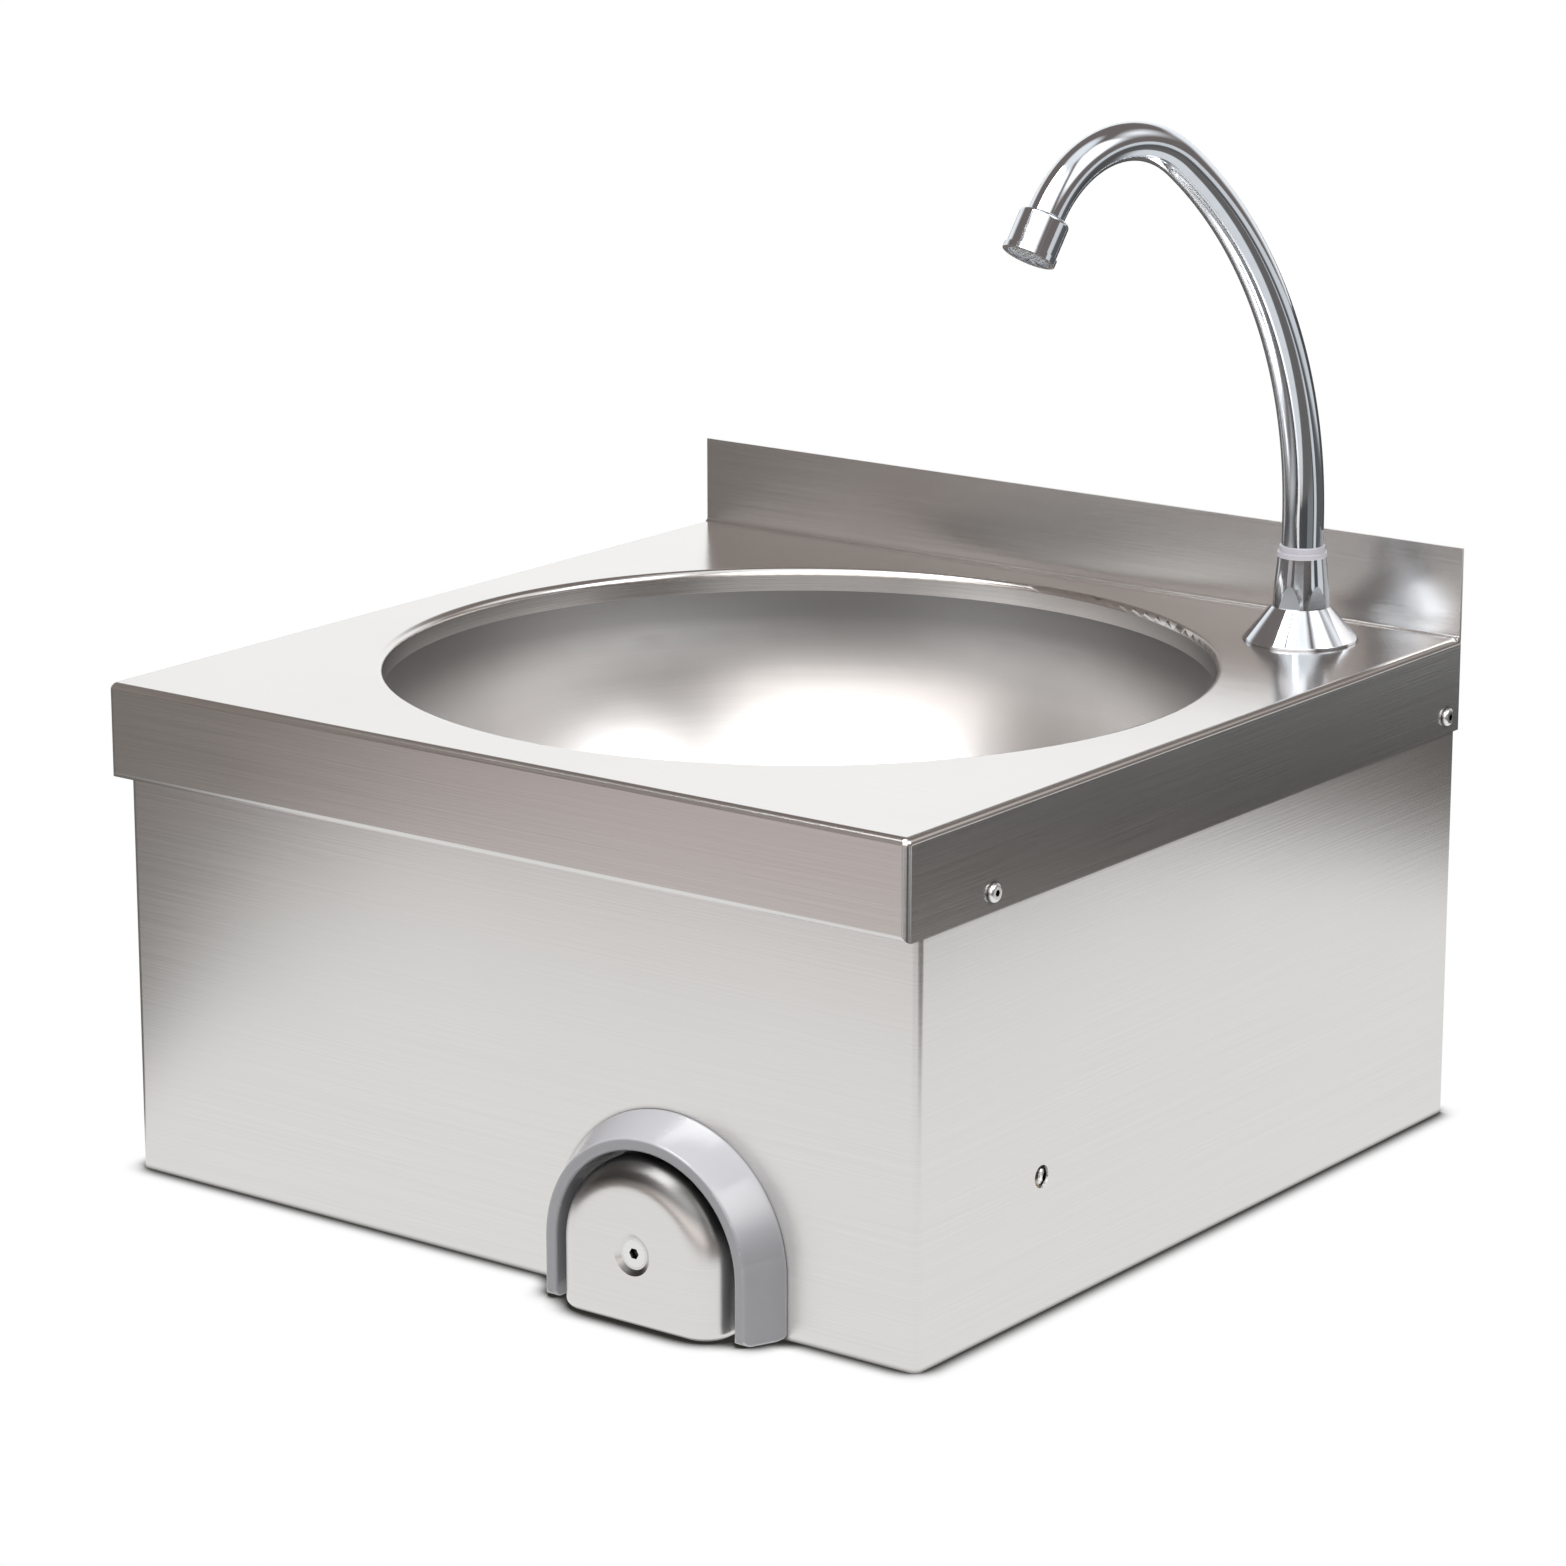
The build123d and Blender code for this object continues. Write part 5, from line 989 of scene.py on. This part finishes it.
# %% Soft boxes
def soft_box(turns, rises, edges, strength, tint):
    """Brightness of a soft light that fills a span of bearings and a span of heights, in degrees."""
    across = window(sky, bearing, turns[0], turns[1], edges[0])
    upward = window(sky, elevation, rises[0], rises[1], edges[1])
    bright = maths(sky, "MULTIPLY", maths(sky, "MULTIPLY", across, upward), strength)
    return vector_maths(sky, "MULTIPLY", vector(sky, bright, bright, bright), tint)


plain, warm = (1.0, 1.0, 1.0), (1.0, 0.94, 0.91)
soft_boxes = (
    ((20.0, 63.0), (30.0, 64.0), (8.0, 10.0), 2.6, plain),
    ((-18.0, 20.0), (30.0, 64.0), (10.0, 10.0), 2.2, plain),
    ((82.0, 118.0), (26.0, 60.0), (8.0, 10.0), 3.4, plain),
    ((-24.0, 56.0), (8.0, 28.0), (10.0, 5.0), 1.3, warm),
    ((126.0, 152.0), (24.0, 46.0), (12.0, 8.0), 1.0, plain),
)
for box in soft_boxes:
    room = vector_maths(sky, "ADD", room, soft_box(*box))
camera_white = put(sky, "ShaderNodeBackground", {"Color": WHITE, "Strength": 1.0}).outputs[0]
studio = put(sky, "ShaderNodeBackground", {"Color": room, "Strength": 1.0}).outputs[0]
to_camera = put(sky, "ShaderNodeLightPath").outputs["Is Camera Ray"]
seen = put(sky, "ShaderNodeMixShader", {0: to_camera, 1: studio, 2: camera_white}).outputs[0]
put(sky, "ShaderNodeOutputWorld", {"Surface": seen})
print("soft boxes:", len(soft_boxes))


# %% [markdown]
# ## Lamp
# One wide lamp hangs in front of the basin, high above it. It gives the parts their soft shading from
# above and the gaps their shadows.

# %% Lamp
lamp = bpy.data.objects.new("lamp_top", bpy.data.lights.new("lamp_top", "AREA"))
lamp.data.shape = "SQUARE"
lamp.data.size = 1.2
lamp.data.energy = 30.0
lamp.location = (-0.3, -0.9, 2.2)
lamp_target = Vector((0.0, 0.0, 0.1))
lamp.rotation_euler = (lamp_target - lamp.location).to_track_quat("-Z", "Y").to_euler()
bpy.context.scene.collection.objects.link(lamp)
print("lamp:", lamp.name, lamp.data.energy, "W")


# %% [markdown]
# ## Floor
# The floor is the white sweep. To the camera it is white, apart from a narrow shadow where the basin
# stands on it: the Ambient Occlusion node finds how closely something stands over each point. From
# below it is clear, so that the underside can be looked at. It throws light back on everything as pale
# paper does.
#
# What the steel mirrors there is drawn with more care. Round the basin lies a table of white paper with
# soft edges, and dim floor beyond it. Further out stand paper screens and dark curtains in turn, and
# they put the light and dark bands on the nut and the lower spout.

# %% Paper screens
def paper_screens(tree, around, spans):
    """Grey of the paper screens by their bearing from the tap; each span is (start, stop, grey)."""
    tone = 0.08
    for start, stop, grey in spans:
        screen = maths(tree, "MULTIPLY", window(tree, around, start, stop, 2.0), grey)
        tone = maths(tree, "MAXIMUM", screen, tone)
    return vector(tree, tone, tone, tone)


near_screens = ((-10.0, 5.0, 0.55), (55.0, 88.0, 0.24), (94.0, 110.0, 0.8), (113.0, 170.0, 0.13))
far_screens = ((-60.0, -12.0, 0.5), (0.0, 40.0, 0.95), (74.0, 88.0, 0.9), (106.0, 158.0, 0.8))


# %% White table and dim floor
def paper_table(tree, place):
    """Colour of the white table with soft edges, and of the dim floor beyond it."""
    spot = parts_of(tree, place)
    slant = maths(tree, "MULTIPLY_ADD", spot["Y"], -0.606, spot["X"])
    left = remap(tree, slant, -0.17, -0.1)
    right = remap(tree, spot["X"], 0.615, 0.555)
    rear = remap(tree, spot["Y"], 0.68, 0.47)
    front = remap(tree, spot["Y"], -0.85, -0.5)
    pale = mixed(tree, front, (0.55, 0.485, 0.47, 1.0), (0.86, 0.86, 0.85, 1.0))
    far = remap(tree, spot["Y"], 0.5, 0.95)
    dim = mixed(tree, far, (0.17, 0.155, 0.145, 1.0), (0.08, 0.078, 0.075, 1.0))
    table = maths(tree, "MULTIPLY", maths(tree, "MULTIPLY", left, right), rear)
    return mixed(tree, table, dim, pale)


def mirrored_floor(tree, place):
    """Colour of the whole floor as the steel mirrors it."""
    off_tap = vector_maths(tree, "SUBTRACT", place, tap_centre)
    reach = length_of(tree, off_tap)
    around = bearing_of(tree, parts_of(tree, off_tap))
    near = paper_screens(tree, around, near_screens)
    far = paper_screens(tree, around, far_screens)
    screens = mixed(tree, remap(tree, reach, 1.6, 2.2), near, far)
    past_table = remap(tree, reach, 0.98, 1.12)
    outside = maths(tree, "MULTIPLY", past_table, window(tree, around, -15.0, 175.0, 3.0))
    return mixed(tree, outside, paper_table(tree, place), screens)


# %% Floor
half = 14.0
corners = [(-half, -half, 0), (half, -half, 0), (half, half, 0), (-half, half, 0)]
floor_mesh = bpy.data.meshes.new("floor")
floor_mesh.from_pydata(corners, [], [(0, 1, 2, 3)])
floor = bpy.data.objects.new("floor", floor_mesh)
bpy.context.scene.collection.objects.link(floor)
sweep = bpy.data.materials.new("sweep")
floor_mesh.materials.append(sweep)
print("floor:", floor.name)

# %% Finish of the floor
sweep.use_nodes = True
tree = sweep.node_tree
tree.nodes.clear()
ray = put(tree, "ShaderNodeLightPath").outputs
contact = put(tree, "ShaderNodeAmbientOcclusion", {"Distance": 11.0 * mm}, samples=16).outputs["AO"]
shade = mixed(tree, remap(tree, contact, 0.5, 1.0), (0.03, 0.028, 0.025, 1.0), WHITE)
white = put(tree, "ShaderNodeEmission", {"Color": shade, "Strength": 1.0}).outputs[0]
floor_tone = mirrored_floor(tree, put(tree, "ShaderNodeTexCoord").outputs["Object"])
shown = put(tree, "ShaderNodeEmission", {"Color": floor_tone, "Strength": 1.0}).outputs[0]
paper = put(tree, "ShaderNodeBsdfDiffuse", {"Color": (0.9, 0.9, 0.9, 1.0)}).outputs[0]
clear = put(tree, "ShaderNodeBsdfTransparent").outputs[0]
below = put(tree, "ShaderNodeNewGeometry").outputs["Backfacing"]
mirrored = put(tree, "ShaderNodeMixShader", {0: ray["Is Glossy Ray"], 1: paper, 2: shown}).outputs[0]
from_above = put(tree, "ShaderNodeMixShader", {0: ray["Is Camera Ray"], 1: mirrored, 2: white}).outputs[0]
either = put(tree, "ShaderNodeMixShader", {0: below, 1: from_above, 2: clear}).outputs[0]
put(tree, "ShaderNodeOutputMaterial", {"Surface": either})
print("floor nodes:", len(tree.nodes))


# %% [markdown]
# ## Camera
# The picture was taken from the right front and a little above, from far away with a long lens, which
# keeps the edges of the box nearly parallel. The camera's place and lens come from fitting the basin's
# known corners to where they stand in the picture.

# %% Camera
camera = bpy.data.objects.new("camera", bpy.data.cameras.new("camera"))
bpy.context.scene.collection.objects.link(camera)
bpy.context.scene.camera = camera
turn, tilt = math.radians(36.92), math.radians(14.842)
backward = Vector((math.sin(turn) * math.cos(tilt), -math.cos(turn) * math.cos(tilt), math.sin(tilt)))
rightward = Vector((math.cos(turn), math.sin(turn), 0.0))
upward = backward.cross(rightward)
axes = Matrix((rightward, upward, backward)).transposed()
camera.matrix_world = Matrix.Translation((1.2637, -1.68354, 0.71655)) @ axes.to_4x4()
camera.data.sensor_width = 36.0
camera.data.lens = 120.58
camera.data.clip_end = 50.0
bpy.context.scene.view_settings.view_transform = "Standard"
print("camera:", tuple(round(v, 3) for v in camera.location))
